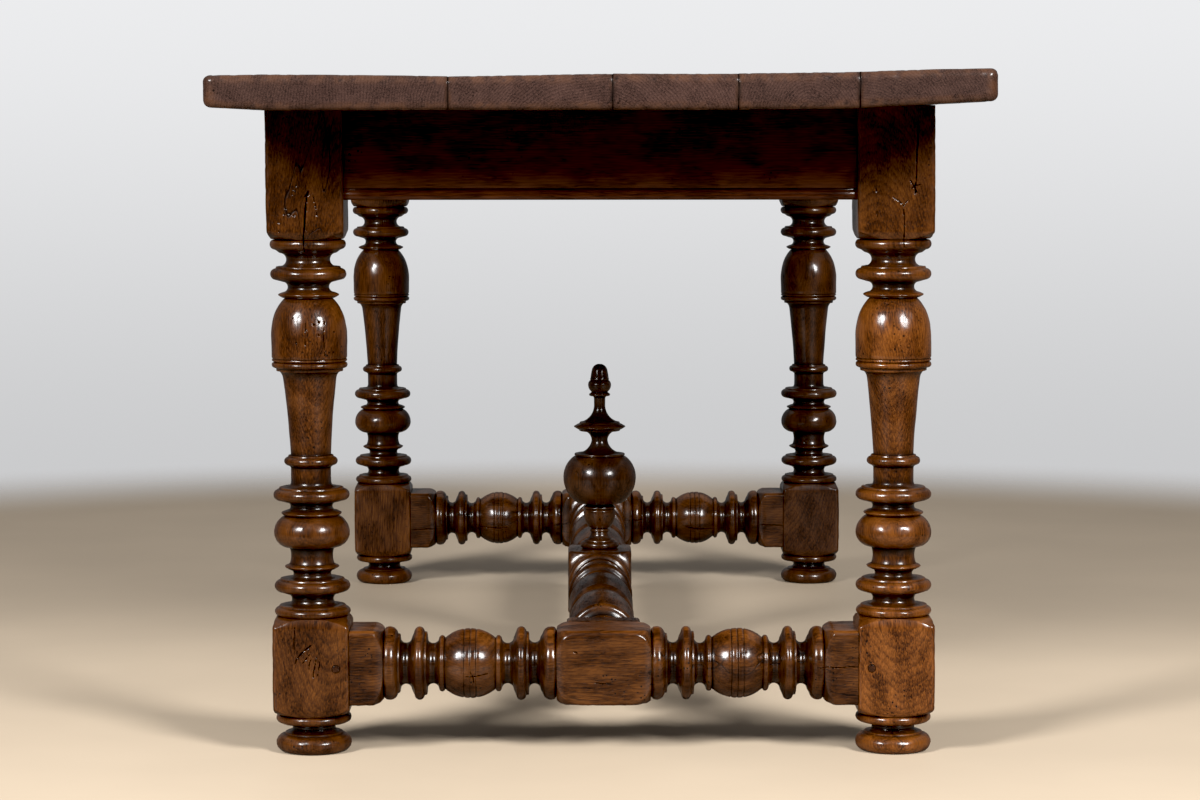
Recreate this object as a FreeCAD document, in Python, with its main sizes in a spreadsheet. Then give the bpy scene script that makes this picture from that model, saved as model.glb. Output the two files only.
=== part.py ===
import FreeCAD, Part
import os
import re
import Sketcher

# Refectory table: a top of five boards on four turned legs, tied by aprons above and by an H of turned
# stretchers below, with a finial on the middle block of the centre stretcher.
# Frame: origin on the floor under the middle of the table, +Z up, X across the width, Y along the length.

SIZES = {
    # Overall
    "table_height": "760",
    "leg_spread_across": "656",
    "leg_spread_along": "1428",
    # Top
    "top_thickness": "36",
    "board_1_width": "259",
    "board_2_width": "174",
    "board_3_width": "133",
    "board_4_width": "128.5",
    "board_5_width": "146.5",
    "end_overhang": "150",
    "top_corner_round": "9",
    "top_edge_round": "5",
    "seam_tenon_thickness": "9",
    "seam_tenon_width": "55",
    "seam_tenon_length": "44",
    "seam_tenon_spacing": "330",
    # Legs
    "leg_size": "86",
    "turning_radius": "42.7",
    "post_length": "145",
    "block_height": "111",
    "pommel_rise": "11",
    "bead_height": "12.8",
    "fillet_height": "2.2",
    "foot_bun_height": "19.8",
    "foot_cove_height": "11",
    "foot_neck_radius": "24",
    "foot_ring_height": "10.3",
    "block_ring_height": "10",
    "block_cove_height": "13",
    "block_neck_radius": "23.5",
    "vase_cove_height": "9.9",
    "vase_cove_radius": "21",
    "thin_disc_height": "6.2",
    "vase_foot_radius": "30.4",
    "vase_neck_height": "19",
    "vase_neck_radius": "25.4",
    "vase_neck_hollow": "2",
    "vase_belly_height": "16.5",
    "vase_top_height": "18.9",
    "vase_top_radius": "31.5",
    "vase_cap_radius": "33.8",
    "cap_cove_height": "9.3",
    "cap_neck_radius": "23.5",
    "stem_height": "22.6",
    "stem_flare": "6",
    "stem_radius": "22.5",
    "stem_ring_height": "9.2",
    "stem_ring_radius": "30.2",
    "taper_top_radius": "28.6",
    "taper_flare_share": "0.13",
    "flare_radius": "35.4",
    "flare_hollow": "1.2",
    "bulb_fillet_height": "3.8",
    "bulb_bead_height": "7",
    "bulb_height": "71.6",
    "bulb_straight": "28.5",
    "bulb_ease": "1.2",
    "bulb_top_radius": "26.4",
    "crown_disc_radius": "33.4",
    "crown_cove_height": "11.7",
    "crown_neck_radius": "23.2",
    "post_cove_height": "15.2",
    "post_neck_radius": "24.5",
    "post_fillet_height": "3.6",
    "post_ring_height": "12",
    # Aprons
    "apron_height": "101",
    "apron_thickness": "28",
    "apron_recess": "8",
    "apron_bead_height": "11",
    "apron_bead_rise": "2.5",
    "apron_quirk": "2",
    "apron_groove_drop": "8",
    "apron_groove_height": "8",
    "apron_groove_depth": "8",
    "apron_tenon_thickness": "10",
    "apron_tenon_height": "72",
    "apron_tenon_shoulder": "15",
    "apron_tenon_length": "42",
    # Stretchers
    "stretcher_size": "84",
    "stretcher_axis_height": "99",
    "stretcher_radius": "41.6",
    "stretcher_tenon_thickness": "24",
    "stretcher_tenon_height": "50",
    "stretcher_tenon_length": "46",
    "end_middle_block": "106.4",
    "end_leg_block": "37",
    "end_ring_length": "12.6",
    "end_ring_fillet": "4.4",
    "end_outer_cove": "14.8",
    "end_outer_neck": "24",
    "end_bead_length": "11",
    "end_bead_fillet": "3",
    "end_inner_cove": "14.4",
    "end_inner_neck": "22.8",
    "end_thin_disc": "6.6",
    "end_thin_radius": "31.8",
    "ball_radius": "39.6",
    "ball_end_radius": "29",
    "centre_middle_block": "90",
    "centre_end_block": "38",
    "centre_ring_length": "14",
    "centre_ring_fillet": "5",
    "centre_cove_length": "20",
    "centre_cove_neck": "24",
    "centre_thin_disc": "7",
    "centre_thin_radius": "31",
    "centre_neck_length": "55",
    "centre_neck_radius": "29",
    "centre_neck_hollow": "5",
    "centre_bead_length": "14",
    "centre_bead_fillet": "2.5",
    "centre_inner_cove": "14",
    "centre_inner_neck": "24",
    "centre_lip_length": "8",
    "centre_lip_radius": "36",
    "centre_barrel_end_radius": "33",
    "centre_barrel_rise": "7.5",
    "centre_waist_ring": "23",
    "centre_waist_radius": "40",
    # Finial
    "finial_dowel_radius": "11",
    "finial_dowel_length": "38",
    "finial_base_height": "11",
    "finial_base_radius": "26.8",
    "finial_foot_cove": "9",
    "finial_foot_neck": "11.5",
    "finial_bead_height": "7",
    "finial_bead_radius": "13.4",
    "finial_cup_height": "28",
    "finial_cup_foot_radius": "11.6",
    "finial_cup_radius": "21.8",
    "finial_cup_rise": "3.1",
    "finial_shoulder_height": "4.5",
    "finial_shoulder_radius": "27.6",
    "finial_ball_height": "65",
    "finial_ball_radius": "48.4",
    "finial_ball_neck": "31.5",
    "finial_lip_height": "2.6",
    "finial_lip_radius": "33.2",
    "finial_flare_height": "18",
    "finial_waist_radius": "11.6",
    "finial_flare_hollow": "5.6",
    "finial_disc_foot": "11",
    "finial_disc_core": "27.4",
    "finial_disc_hollow": "4",
    "finial_disc_fillet": "1.6",
    "finial_disc_height": "8",
    "finial_disc_radius": "34.6",
    "finial_stem_height": "26",
    "finial_stem_radius": "8",
    "finial_stem_hollow": "6.2",
    "finial_stem_top": "6",
    "finial_knop_height": "8",
    "finial_knop_radius": "13.6",
    "finial_acorn_gap": "2.4",
    "finial_acorn_neck": "9",
    "finial_acorn_height": "15.7",
    "finial_acorn_radius": "15.3",
    "finial_acorn_lip_radius": "12.8",
    "finial_tip_height": "21.4",
    "finial_tip_radius": "3.4",
    # Pegs, buttons and screws
    "leg_peg_diameter": "8.6",
    "leg_peg_length": "62",
    "leg_peg_inset": "15",
    "stretcher_peg_size": "7.6",
    "stretcher_peg_length": "70",
    "stretcher_peg_inset": "13",
    "button_length": "42",
    "button_width": "30",
    "button_thickness": "21",
    "button_spacing": "480",
    "screw_inset": "24",
    "screw_radius": "2.3",
    "screw_length": "42",
    "screw_tip_length": "7",
    "screw_head_radius": "4.6",
    "screw_head_height": "2.8",
    "screw_slot_width": "1.2",
    "screw_slot_depth": "1.2",
    # Fits
    "joint_clearance": "0.15",
    "hole_clearance": "0.1",
    "cut_overrun": "4",
}
BOARD_COUNT = 5
SEAM_TENON_COUNT = 5
QUARTER_TURN = 90
HALF_TURN = 180
FULL_TURN = 360
OUTWARD = 1
INWARD = -1
TOUCHING = 0.0001

# Places worked out from the driving sizes
UNDERSIDE = "(table_height - top_thickness)"
BOARD_WIDTHS = ["board_%d_width" % number for number in range(1, BOARD_COUNT + 1)]
TOP_WIDTH = "(" + " + ".join(BOARD_WIDTHS) + ")"
TOP_LENGTH = "(leg_spread_along + leg_size + 2 * end_overhang)"
SEAMS = [f"(-{TOP_WIDTH} / 2 + " + " + ".join(BOARD_WIDTHS[:count]) + ")" for count in range(1, BOARD_COUNT)]
BOARD_STARTS = [f"(-{TOP_WIDTH} / 2)"] + SEAMS
BOARD_CENTRES = [f"({start} + {width} / 2)" for start, width in zip(BOARD_STARTS, BOARD_WIDTHS)]
SEAM_TENON_PLACES = [
    f"{number - (SEAM_TENON_COUNT - 1) / 2} * seam_tenon_spacing" for number in range(SEAM_TENON_COUNT)
]
HALF_LEG = "(leg_size / 2)"
HALF_STRETCHER = "(stretcher_size / 2)"
BLOCK_BASE = "(foot_bun_height + fillet_height + foot_cove_height + foot_ring_height)"
BLOCK_TOP = f"({BLOCK_BASE} + block_height)"
POST_BASE = f"({UNDERSIDE} - post_length)"
APRON_BASE = f"({UNDERSIDE} - apron_height)"
APRON_INSET = f"({HALF_LEG} - apron_recess - apron_thickness / 2)"
SIDE_APRON_PLACE = f"(leg_spread_across / 2 + {APRON_INSET})"
END_APRON_PLACE = f"(leg_spread_along / 2 + {APRON_INSET})"
END_CLEAR = "(leg_spread_across - leg_size)"
SIDE_CLEAR = "(leg_spread_along - leg_size)"
CENTRE_CLEAR = "(leg_spread_along - stretcher_size)"
TENON_CENTRE = f"({APRON_BASE} + apron_tenon_shoulder + apron_tenon_height / 2)"

doc = FreeCAD.newDocument("refectory_table")
sheet = doc.addObject("Spreadsheet::Sheet", "Sizes")
for row, (alias, number) in enumerate(SIZES.items(), start=1):
    sheet.set("A%d" % row, alias)
    sheet.set("B%d" % row, number)
    sheet.setAlias("B%d" % row, alias)
doc.recompute()
nodes = []


def bound(text):
    """Expression in sheet aliases, written so that any object of the document can read it."""
    return re.sub(r"[a-z]\w+", lambda word: "Sizes." + word[0] if word[0] in SIZES else word[0], text)


def size(text):
    """Present value of an expression in sheet aliases."""
    return float(sheet.evalExpression(bound(text)))


def place(item, across="0", along="0", up="0", axis=(0, 0, 1), turn=0):
    """Turn an object about an axis and tie its position to the sheet."""
    item.Placement = FreeCAD.Placement(FreeCAD.Vector(), FreeCAD.Rotation(FreeCAD.Vector(*axis), turn))
    for name, text in zip("xyz", (across, along, up)):
        item.setExpression("Placement.Base." + name, bound(text))


def new_body(name, **where):
    body = doc.addObject("PartDesign::Body", name)
    body.Label = name
    place(body, **where)
    return body


def new_node(name, **where):
    """Body that is a sub-part of the table by itself."""
    body = new_body(name, **where)
    nodes.append(body)
    return body


def new_group(name, pieces):
    """Sub-part made of identical loose pieces."""
    group = doc.addObject("Part::Compound", name)
    group.Label = name
    group.Links = pieces
    nodes.append(group)


def new_sketch(body, name, role, level="0"):
    """Sketch on one of the body's own origin planes, moved along the plane's normal."""
    sketch = body.newObject("Sketcher::SketchObject", name)
    plane = next(item for item in body.Origin.OriginFeatures if item.Role == role)
    sketch.AttachmentSupport = [(plane, "")]
    sketch.MapMode = "FlatFace"
    sketch.setExpression("AttachmentOffset.Base.z", bound(level))
    return sketch


def point_ties(geometry, point, across, up):
    """Constraints that tie a sketch point to the sheet, each with its expression; None leaves one way free."""
    return [
        (Sketcher.Constraint(kind, -1, 1, geometry, point, size(text)), text)
        for kind, text in (("DistanceX", across), ("DistanceY", up))
        if text
    ]


def radius_tie(geometry, radius):
    return Sketcher.Constraint("Radius", geometry, size(radius)), radius


def constrain(sketch, ties):
    """Add constraints to a sketch, each with the expression that drives it, if it has one."""
    first = len(sketch.Constraints)
    sketch.addConstraint([constraint for constraint, _ in ties])
    for index, (_, text) in enumerate(ties, start=first):
        if text:
            sketch.setExpression("Constraints[%d]" % index, bound(text))


def arc_between(start, end, radius, turn):
    """Arc of a half circle or less; anticlockwise from start to end where turn is 1, clockwise where -1."""
    chord = end - start
    reach = max(radius * radius - chord.Length * chord.Length / 4, 0) ** 0.5
    sideways = FreeCAD.Vector(-chord.y, chord.x, 0).normalize()
    circle = Part.Circle((start + end) / 2 + sideways * reach * turn, FreeCAD.Vector(0, 0, 1), radius)
    first, last = (start, end) if turn > 0 else (end, start)
    return Part.ArcOfCircle(circle, circle.parameter(first), circle.parameter(last))


def draw(sketch, steps):
    """Closed outline. Each step is a point, and then the curve that leads to it if that is no straight line.

    A curve is ("half", turn), between two points that lie equally far across, or (radius, turn).
    """
    points = [FreeCAD.Vector(size(step[0]), size(step[1]), 0) for step in steps]
    first = len(sketch.Geometry)
    lines = []
    ends = []
    for number, (_, _, *curve) in enumerate(steps):
        start, end = points[number - 1], points[number]
        if curve:
            shape, turn = curve
            radius = (end - start).Length / 2 if shape == "half" else size(shape)
            lines.append(arc_between(start, end, radius, turn))
        else:
            turn = 1
            lines.append(Part.LineSegment(start, end))
        ends.append((1, 2) if turn > 0 else (2, 1))
    sketch.addGeometry(lines)
    ties = []
    for number, (across, up, *curve) in enumerate(steps):
        here = first + number
        following = (number + 1) % len(steps)
        meeting = (here, ends[number][1], first + following, ends[following][0])
        ties.append((Sketcher.Constraint("Coincident", *meeting), None))
        ties += point_ties(here, ends[number][1], across, up)
        if curve and curve[0] == "half":
            ties += point_ties(here, 3, across, None)
        elif curve:
            ties.append(radius_tie(here, curve[0]))
    constrain(sketch, ties)


def draw_rectangle(sketch, across, up, width, height):
    """Rectangle about a centre."""
    left, right = f"{across} - ({width}) / 2", f"{across} + ({width}) / 2"
    low, high = f"{up} - ({height}) / 2", f"{up} + ({height}) / 2"
    draw(sketch, [(left, low), (right, low), (right, high), (left, high)])


def draw_circle(sketch, across, up, radius):
    centre = FreeCAD.Vector(size(across), size(up), 0)
    number = sketch.addGeometry(Part.Circle(centre, FreeCAD.Vector(0, 0, 1), size(radius)))
    constrain(sketch, point_ties(number, 3, across, up) + [radius_tie(number, radius)])


def extrude(body, kind, name, sketch, length):
    """Pad or pocket that reaches equally far on both sides of its sketch."""
    feature = body.newObject("PartDesign::" + kind, name)
    feature.Profile = sketch
    feature.SideType = "Symmetric"
    feature.Refine = False
    feature.setExpression("Length", bound(length))
    return feature


def spin(body, kind, name, sketch):
    """Revolution or groove all the way round the body's Z axis."""
    feature = body.newObject("PartDesign::" + kind, name)
    feature.Profile = sketch
    feature.ReferenceAxis = (sketch, ["V_Axis"])
    feature.Angle = FULL_TURN
    feature.Refine = False
    return feature


def bar(body, name, width, depth, low, high):
    """Rectangular length of timber about the body's Z axis."""
    sketch = new_sketch(body, name + "_section", "XY_Plane", f"(({low}) + ({high})) / 2")
    draw_rectangle(sketch, "0", "0", width, depth)
    extrude(body, "Pad", name, sketch, f"({high}) - ({low})")


def hollow(body, name, role, face, way, depth, draw_mouth, *mouth):
    """Blind hole square to an origin plane, from a face into the timber.

    face is where the face lies along the plane's normal, and way, 1 or -1, points out of the timber there.
    """
    sketch = new_sketch(body, name + "_mouth", role, f"{face} + {way} * (cut_overrun - ({depth})) / 2")
    draw_mouth(sketch, *mouth)
    extrude(body, "Pocket", name, sketch, f"{depth} + cut_overrun")


def cut_pommels(body, side, start, ends):
    """Round off the corners of square blocks from a radius outwards, where the turning meets them.

    Each end is the level where a block starts and the way, 1 or -1, from there into the block.
    """
    sketch = new_sketch(body, "pommels_outline", "XZ_Plane")
    corner = f"({side} * sqrt(2) / 2)"
    beyond = f"{corner} + cut_overrun"
    radius = bow_radius(f"({corner} - {start}) * 2", "pommel_rise")
    for level, way in ends:
        risen = f"{level} + {way} * pommel_rise"
        draw(sketch, [(start, level, radius, -way), (beyond, level), (beyond, risen), (corner, risen)])
    spin(body, "Groove", "pommels", sketch)


def bow_radius(chord, rise):
    """Radius of an arc from its chord and its rise."""
    return f"((({chord}) * ({chord}) / 4 + ({rise}) * ({rise})) / (2 * ({rise})))"


def slant(across, along):
    """Length of a chord from what it spans both ways."""
    return f"sqrt(({across}) * ({across}) + ({along}) * ({along}))"


class Turning:
    """Outline of a turned piece, added element by element along the axis and revolved in short stretches."""

    def __init__(self, level):
        self.stretches = []
        self.part_off(level)

    def part_off(self, level=None):
        """Start a new stretch, here or at a level further on."""
        self.level = level or self.level
        self.stretches.append([("0", self.level)])

    def move(self, radius, length=None, *curve):
        """Go to a radius, straight out or in, or over a length along the axis."""
        if length is not None:
            self.level = f"{self.level} + {length}"
        if (radius, self.level) != self.stretches[-1][-1][:2]:
            self.stretches[-1].append((radius, self.level, *curve))

    def bead(self, length, radius, before=None, after=None):
        """Half round up to a radius, with a flat fillet before or after it."""
        core = f"{radius} - {length} / 2"
        self.move(core)
        if before:
            self.move(core, before)
        self.move(core, length, "half", OUTWARD)
        if after:
            self.move(core, after)

    def cove(self, length, neck):
        """Half hollow down to the radius of a neck."""
        lip = f"{neck} + {length} / 2"
        self.move(lip)
        self.move(lip, length, "half", INWARD)

    def bow(self, length, radius, rise, turn):
        """Shallow swelling or hollow between two places of one radius."""
        self.move(radius)
        self.move(radius, length, bow_radius(length, rise), turn)

    def revolve(self, body):
        for steps in self.stretches:
            if steps[-1][0] != "0":
                steps.append(("0", steps[-1][1]))
            sketch = new_sketch(body, "turning_outline", "XZ_Plane")
            draw(sketch, steps)
            spin(body, "Revolution", "turning", sketch)


def make_board(number, fixings):
    """One board of the top: rounded at the ends and at the table's edge, mortised along its seams."""
    width = BOARD_WIDTHS[number]
    half_width = f"({width} / 2)"
    half_length = f"({TOP_LENGTH} / 2)"
    body = new_node(
        "top_board_%d" % (number + 1), across=BOARD_CENTRES[number], up=f"{UNDERSIDE} + top_thickness / 2"
    )
    sketch = new_sketch(body, "plan", "XY_Plane")
    free_side = {0: -1, BOARD_COUNT - 1: 1}.get(number)
    if free_side is None:
        draw_rectangle(sketch, "0", "0", width, TOP_LENGTH)
    else:
        edge, seam = f"{free_side} * {half_width}", f"{-free_side} * {half_width}"
        turned_in = f"{free_side} * ({half_width} - top_corner_round)"
        before_corner = f"({half_length} - top_corner_round)"
        draw(sketch, [
            (turned_in, f"-{half_length}", "top_corner_round", -free_side),
            (seam, f"-{half_length}"),
            (seam, half_length),
            (turned_in, half_length),
            (edge, before_corner, "top_corner_round", -free_side),
            (edge, f"-{before_corner}"),
        ])
    slab = extrude(body, "Pad", "slab", sketch, "top_thickness")
    doc.recompute()
    seam_sides = [side for side in (-1, 1) if side != free_side]
    rounding = body.newObject("PartDesign::Fillet", "worn_edges")
    rounding.Base = (slab, arrises(slab.Shape, [side * size(half_width) for side in seam_sides]))
    rounding.setExpression("Radius", bound("top_edge_round"))
    for side in seam_sides:
        name = "seam_mortises_left" if side < 0 else "seam_mortises_right"
        mortises = new_sketch(body, name + "_plan", "XY_Plane")
        reach = "(seam_tenon_length / 2 + joint_clearance)"
        middle = f"{side} * ({half_width} + (cut_overrun - {reach}) / 2)"
        mouth = (f"{reach} + cut_overrun", "seam_tenon_width + 2 * joint_clearance")
        for along in SEAM_TENON_PLACES:
            draw_rectangle(mortises, middle, along, *mouth)
        extrude(body, "Pocket", name, mortises, "seam_tenon_thickness + 2 * joint_clearance")
    for count, (board, across, along, _) in enumerate(fixings):
        if board == number:
            hollow(
                body, "screw_hole_%d" % count, "XY_Plane", "-top_thickness / 2", -1,
                "screw_length - button_thickness + joint_clearance",
                draw_circle, f"{across} - {BOARD_CENTRES[number]}", along, "screw_radius + hole_clearance",
            )


def arrises(shape, seam_places):
    """Long and end edges of a slab, apart from those along its seams and its upright ones."""
    names = []
    for number, edge in enumerate(shape.Edges, start=1):
        box = edge.BoundBox
        upright = box.ZLength > TOUCHING
        on_seam = any(abs(box.XMin - seam) + abs(box.XMax - seam) < TOUCHING for seam in seam_places)
        if not upright and not on_seam:
            names.append("Edge%d" % number)
    return names


def make_seam_tenons(number):
    """Loose tenons that tie two neighbouring boards."""
    name = "seam_tenons_%d" % (number + 1)
    body = new_node(name, across=SEAMS[number], up=f"{UNDERSIDE} + top_thickness / 2")
    sketch = new_sketch(body, "plan", "XY_Plane")
    for along in SEAM_TENON_PLACES:
        draw_rectangle(sketch, "0", along, "seam_tenon_length", "seam_tenon_width")
    extrude(body, "Pad", "tenons", sketch, "seam_tenon_thickness")


def leg_turning():
    """Outlines of a leg's turned stretches: the bun foot, and all from the lower block up to the post."""
    turning = Turning("0")
    turning.bead("foot_bun_height", "turning_radius", after="fillet_height")
    turning.cove("foot_cove_height", "foot_neck_radius")
    turning.bead("foot_ring_height", "turning_radius")
    turning.part_off(BLOCK_TOP)
    turning.bead("block_ring_height", "turning_radius", after="fillet_height")
    turning.cove("block_cove_height", "block_neck_radius")
    turning.bead("bead_height", "turning_radius", "fillet_height", "fillet_height")
    turning.cove("vase_cove_height", "vase_cove_radius")
    turning.part_off()
    turning.bead("thin_disc_height", "vase_foot_radius")
    turning.bow("vase_neck_height", "vase_neck_radius", "vase_neck_hollow", INWARD)
    turning.move("turning_radius - vase_belly_height")
    turning.move("turning_radius", "vase_belly_height", "vase_belly_height", OUTWARD)
    top_curve = bow_radius("2 * vase_top_height", "turning_radius - vase_top_radius")
    turning.move("vase_top_radius", "vase_top_height", top_curve, OUTWARD)
    turning.bead("thin_disc_height", "vase_cap_radius")
    turning.part_off()
    turning.cove("cap_cove_height", "cap_neck_radius")
    turning.bead("bead_height", "turning_radius", "fillet_height", "fillet_height")
    turning.move("stem_radius + stem_flare")
    turning.move("stem_radius", "stem_flare", "stem_flare", INWARD)
    turning.move("stem_radius", "stem_height - stem_flare")
    turning.bead("stem_ring_height", "stem_ring_radius", "fillet_height", "fillet_height")
    turning.part_off()
    turning.move("stem_radius")
    bulb_stack = "(bulb_fillet_height + bulb_bead_height + bulb_height)"
    crown_stack = "(thin_disc_height + crown_cove_height + bead_height + 2 * fillet_height)"
    post_stack = "(post_cove_height + post_fillet_height + post_ring_height)"
    taper_top = f"({POST_BASE} - {post_stack} - {crown_stack} - {bulb_stack})"
    flare = f"(({taper_top} - ({turning.level})) * taper_flare_share)"
    turning.level = f"{taper_top} - {flare}"
    turning.move("taper_top_radius")
    turning.level = taper_top
    flare_chord = slant("flare_radius - taper_top_radius", flare)
    turning.move("flare_radius", None, bow_radius(flare_chord, "flare_hollow"), INWARD)
    turning.bead("bulb_bead_height", "turning_radius", before="bulb_fillet_height")
    turning.move("turning_radius - bulb_ease")
    turning.move("turning_radius", "bulb_ease")
    turning.move("turning_radius", "bulb_straight - bulb_ease")
    crown_draw_in = "turning_radius - bulb_top_radius"
    crown_rise = "bulb_height - bulb_straight"
    turning.move("bulb_top_radius", crown_rise, bow_radius(f"2 * ({crown_rise})", crown_draw_in), OUTWARD)
    turning.part_off()
    turning.bead("thin_disc_height", "crown_disc_radius")
    turning.cove("crown_cove_height", "crown_neck_radius")
    turning.bead("bead_height", "turning_radius", "fillet_height", "fillet_height")
    turning.cove("post_cove_height", "post_neck_radius")
    turning.bead("post_ring_height", "turning_radius", before="post_fillet_height")
    return turning


def make_leg(name, right, far):
    """Leg with its mortises; right and far are 1 or -1 and say which corner of the table it stands at."""
    body = new_node(name, across=f"{right} * leg_spread_across / 2", along=f"{far} * leg_spread_along / 2")
    leg_turning().revolve(body)
    bar(body, "lower_block", "leg_size", "leg_size", BLOCK_BASE, BLOCK_TOP)
    bar(body, "post", "leg_size", "leg_size", POST_BASE, UNDERSIDE)
    slot = "apron_tenon_thickness + 2 * joint_clearance"
    slot_height = "apron_tenon_height + 2 * joint_clearance"
    slot_depth = "apron_tenon_length + joint_clearance"
    hollow(
        body, "end_apron_mortise", "YZ_Plane", f"{-right} * {HALF_LEG}", -right, slot_depth,
        draw_rectangle, f"{far} * {APRON_INSET}", TENON_CENTRE, slot, slot_height,
    )
    hollow(
        body, "side_apron_mortise", "XZ_Plane", f"{far} * {HALF_LEG}", far, slot_depth,
        draw_rectangle, f"{right} * {APRON_INSET}", TENON_CENTRE, slot, slot_height,
    )
    hollow(
        body, "stretcher_mortise", "YZ_Plane", f"{-right} * {HALF_LEG}", -right,
        "stretcher_tenon_length + joint_clearance", draw_rectangle, "0", "stretcher_axis_height",
        "stretcher_tenon_thickness + 2 * joint_clearance", "stretcher_tenon_height + 2 * joint_clearance",
    )
    hollow(
        body, "peg_hole", "XZ_Plane", f"{-far} * {HALF_LEG}", -far, "leg_peg_length + joint_clearance",
        draw_circle, f"{-right} * ({HALF_LEG} - leg_peg_inset)", "stretcher_axis_height",
        "leg_peg_diameter / 2 + hole_clearance",
    )
    cut_pommels(body, "leg_size", "turning_radius", [(BLOCK_BASE, 1), (BLOCK_TOP, -1), (POST_BASE, 1)])


def make_apron(name, clear, across, along, turn):
    """Apron with a scratched bead along its lower edge, a groove inside for the buttons, and two tenons."""
    body = new_node(name, across=across, along=along, up=APRON_BASE, turn=turn)
    inner, outer = "apron_thickness / 2", "-apron_thickness / 2"
    bead_foot = f"{outer} + apron_bead_rise"
    bead_top = "apron_bead_height + apron_quirk"
    groove_top = "apron_height - apron_groove_drop"
    groove_foot = f"{groove_top} - apron_groove_height"
    groove_back = f"{inner} - apron_groove_depth"
    section = new_sketch(body, "section", "YZ_Plane")
    draw(section, [
        (bead_foot, "0", bow_radius("apron_bead_height", "apron_bead_rise"), OUTWARD),
        (inner, "0"),
        (inner, groove_foot),
        (groove_back, groove_foot),
        (groove_back, groove_top),
        (inner, groove_top),
        (inner, "apron_height"),
        (outer, "apron_height"),
        (outer, bead_top),
        (bead_foot, bead_top),
        (bead_foot, "apron_bead_height"),
    ])
    extrude(body, "Pad", "rail", section, clear)
    tenon = new_sketch(body, "tenon_section", "YZ_Plane")
    tenon_middle = "apron_tenon_shoulder + apron_tenon_height / 2"
    draw_rectangle(tenon, "0", tenon_middle, "apron_tenon_thickness", "apron_tenon_height")
    extrude(body, "Pad", "tenons", tenon, f"{clear} + 2 * apron_tenon_length")


def end_run(turning, ball_length):
    """Turned run of an end stretcher between two square blocks, the same both ways about its ball."""
    radius = "stretcher_radius"
    turning.bead("end_ring_length", radius, after="end_ring_fillet")
    turning.cove("end_outer_cove", "end_outer_neck")
    turning.bead("end_bead_length", radius, "end_bead_fillet", "end_bead_fillet")
    turning.cove("end_inner_cove", "end_inner_neck")
    turning.part_off()
    turning.bead("end_thin_disc", "end_thin_radius")
    turning.bow(ball_length, "ball_end_radius", "ball_radius - ball_end_radius", OUTWARD)
    turning.bead("end_thin_disc", "end_thin_radius")
    turning.part_off()
    turning.cove("end_inner_cove", "end_inner_neck")
    turning.bead("end_bead_length", radius, "end_bead_fillet", "end_bead_fillet")
    turning.cove("end_outer_cove", "end_outer_neck")
    turning.bead("end_ring_length", radius, before="end_ring_fillet")


def make_end_stretcher(name, far):
    """Turned stretcher between two legs, along X; its middle block takes the centre stretcher's tenon."""
    lie_across = {"axis": (0, 1, 0), "turn": QUARTER_TURN}
    body = new_node(name, along=f"{far} * leg_spread_along / 2", up="stretcher_axis_height", **lie_across)
    shoulder = f"({END_CLEAR} / 2)"
    block_end = f"({shoulder} - end_leg_block)"
    ring_stack = "end_ring_length + end_ring_fillet + end_outer_cove"
    bead_stack = "end_bead_length + 2 * end_bead_fillet + end_inner_cove + end_thin_disc"
    ball_length = f"({block_end} - end_middle_block / 2 - 2 * ({ring_stack} + {bead_stack}))"
    turning = Turning(f"-{block_end}")
    end_run(turning, ball_length)
    half_block = "(end_middle_block / 2)"
    turning.part_off(half_block)
    end_run(turning, ball_length)
    turning.revolve(body)
    bar(body, "middle_block", "stretcher_size", "stretcher_size", f"-{half_block}", half_block)
    bar(body, "left_block", "stretcher_size", "stretcher_size", f"-{shoulder}", f"-{block_end}")
    bar(body, "right_block", "stretcher_size", "stretcher_size", block_end, shoulder)
    cut_pommels(body, "stretcher_size", "stretcher_radius", [
        (f"-{half_block}", 1), (half_block, -1), (f"-{block_end}", -1), (block_end, 1),
    ])
    tenon_end = f"({shoulder} + stretcher_tenon_length)"
    tenon = ("stretcher_tenon_height", "stretcher_tenon_thickness")
    bar(body, "left_tenon", *tenon, f"-{tenon_end}", f"-{shoulder}")
    bar(body, "right_tenon", *tenon, shoulder, tenon_end)
    peg_holes = new_sketch(body, "peg_holes_plan", "XZ_Plane")
    for side in (-1, 1):
        draw_circle(
            peg_holes, "0", f"{side} * ({shoulder} + leg_peg_inset)", "leg_peg_diameter / 2 + hole_clearance"
        )
    extrude(body, "Pocket", "peg_holes", peg_holes, "stretcher_size")
    hollow(
        body, "centre_mortise", "XZ_Plane", f"{far} * {HALF_STRETCHER}", far,
        "stretcher_tenon_length + joint_clearance", draw_rectangle, "0", "0",
        "stretcher_tenon_height + 2 * joint_clearance", "stretcher_tenon_thickness + 2 * joint_clearance",
    )
    peg_hole = "stretcher_peg_size + 2 * hole_clearance"
    hollow(
        body, "stretcher_peg_hole", "YZ_Plane", f"-{HALF_STRETCHER}", -1,
        "stretcher_peg_length + joint_clearance", draw_rectangle,
        f"{-far} * ({HALF_STRETCHER} - stretcher_peg_inset)", "0", peg_hole, peg_hole,
    )


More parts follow.
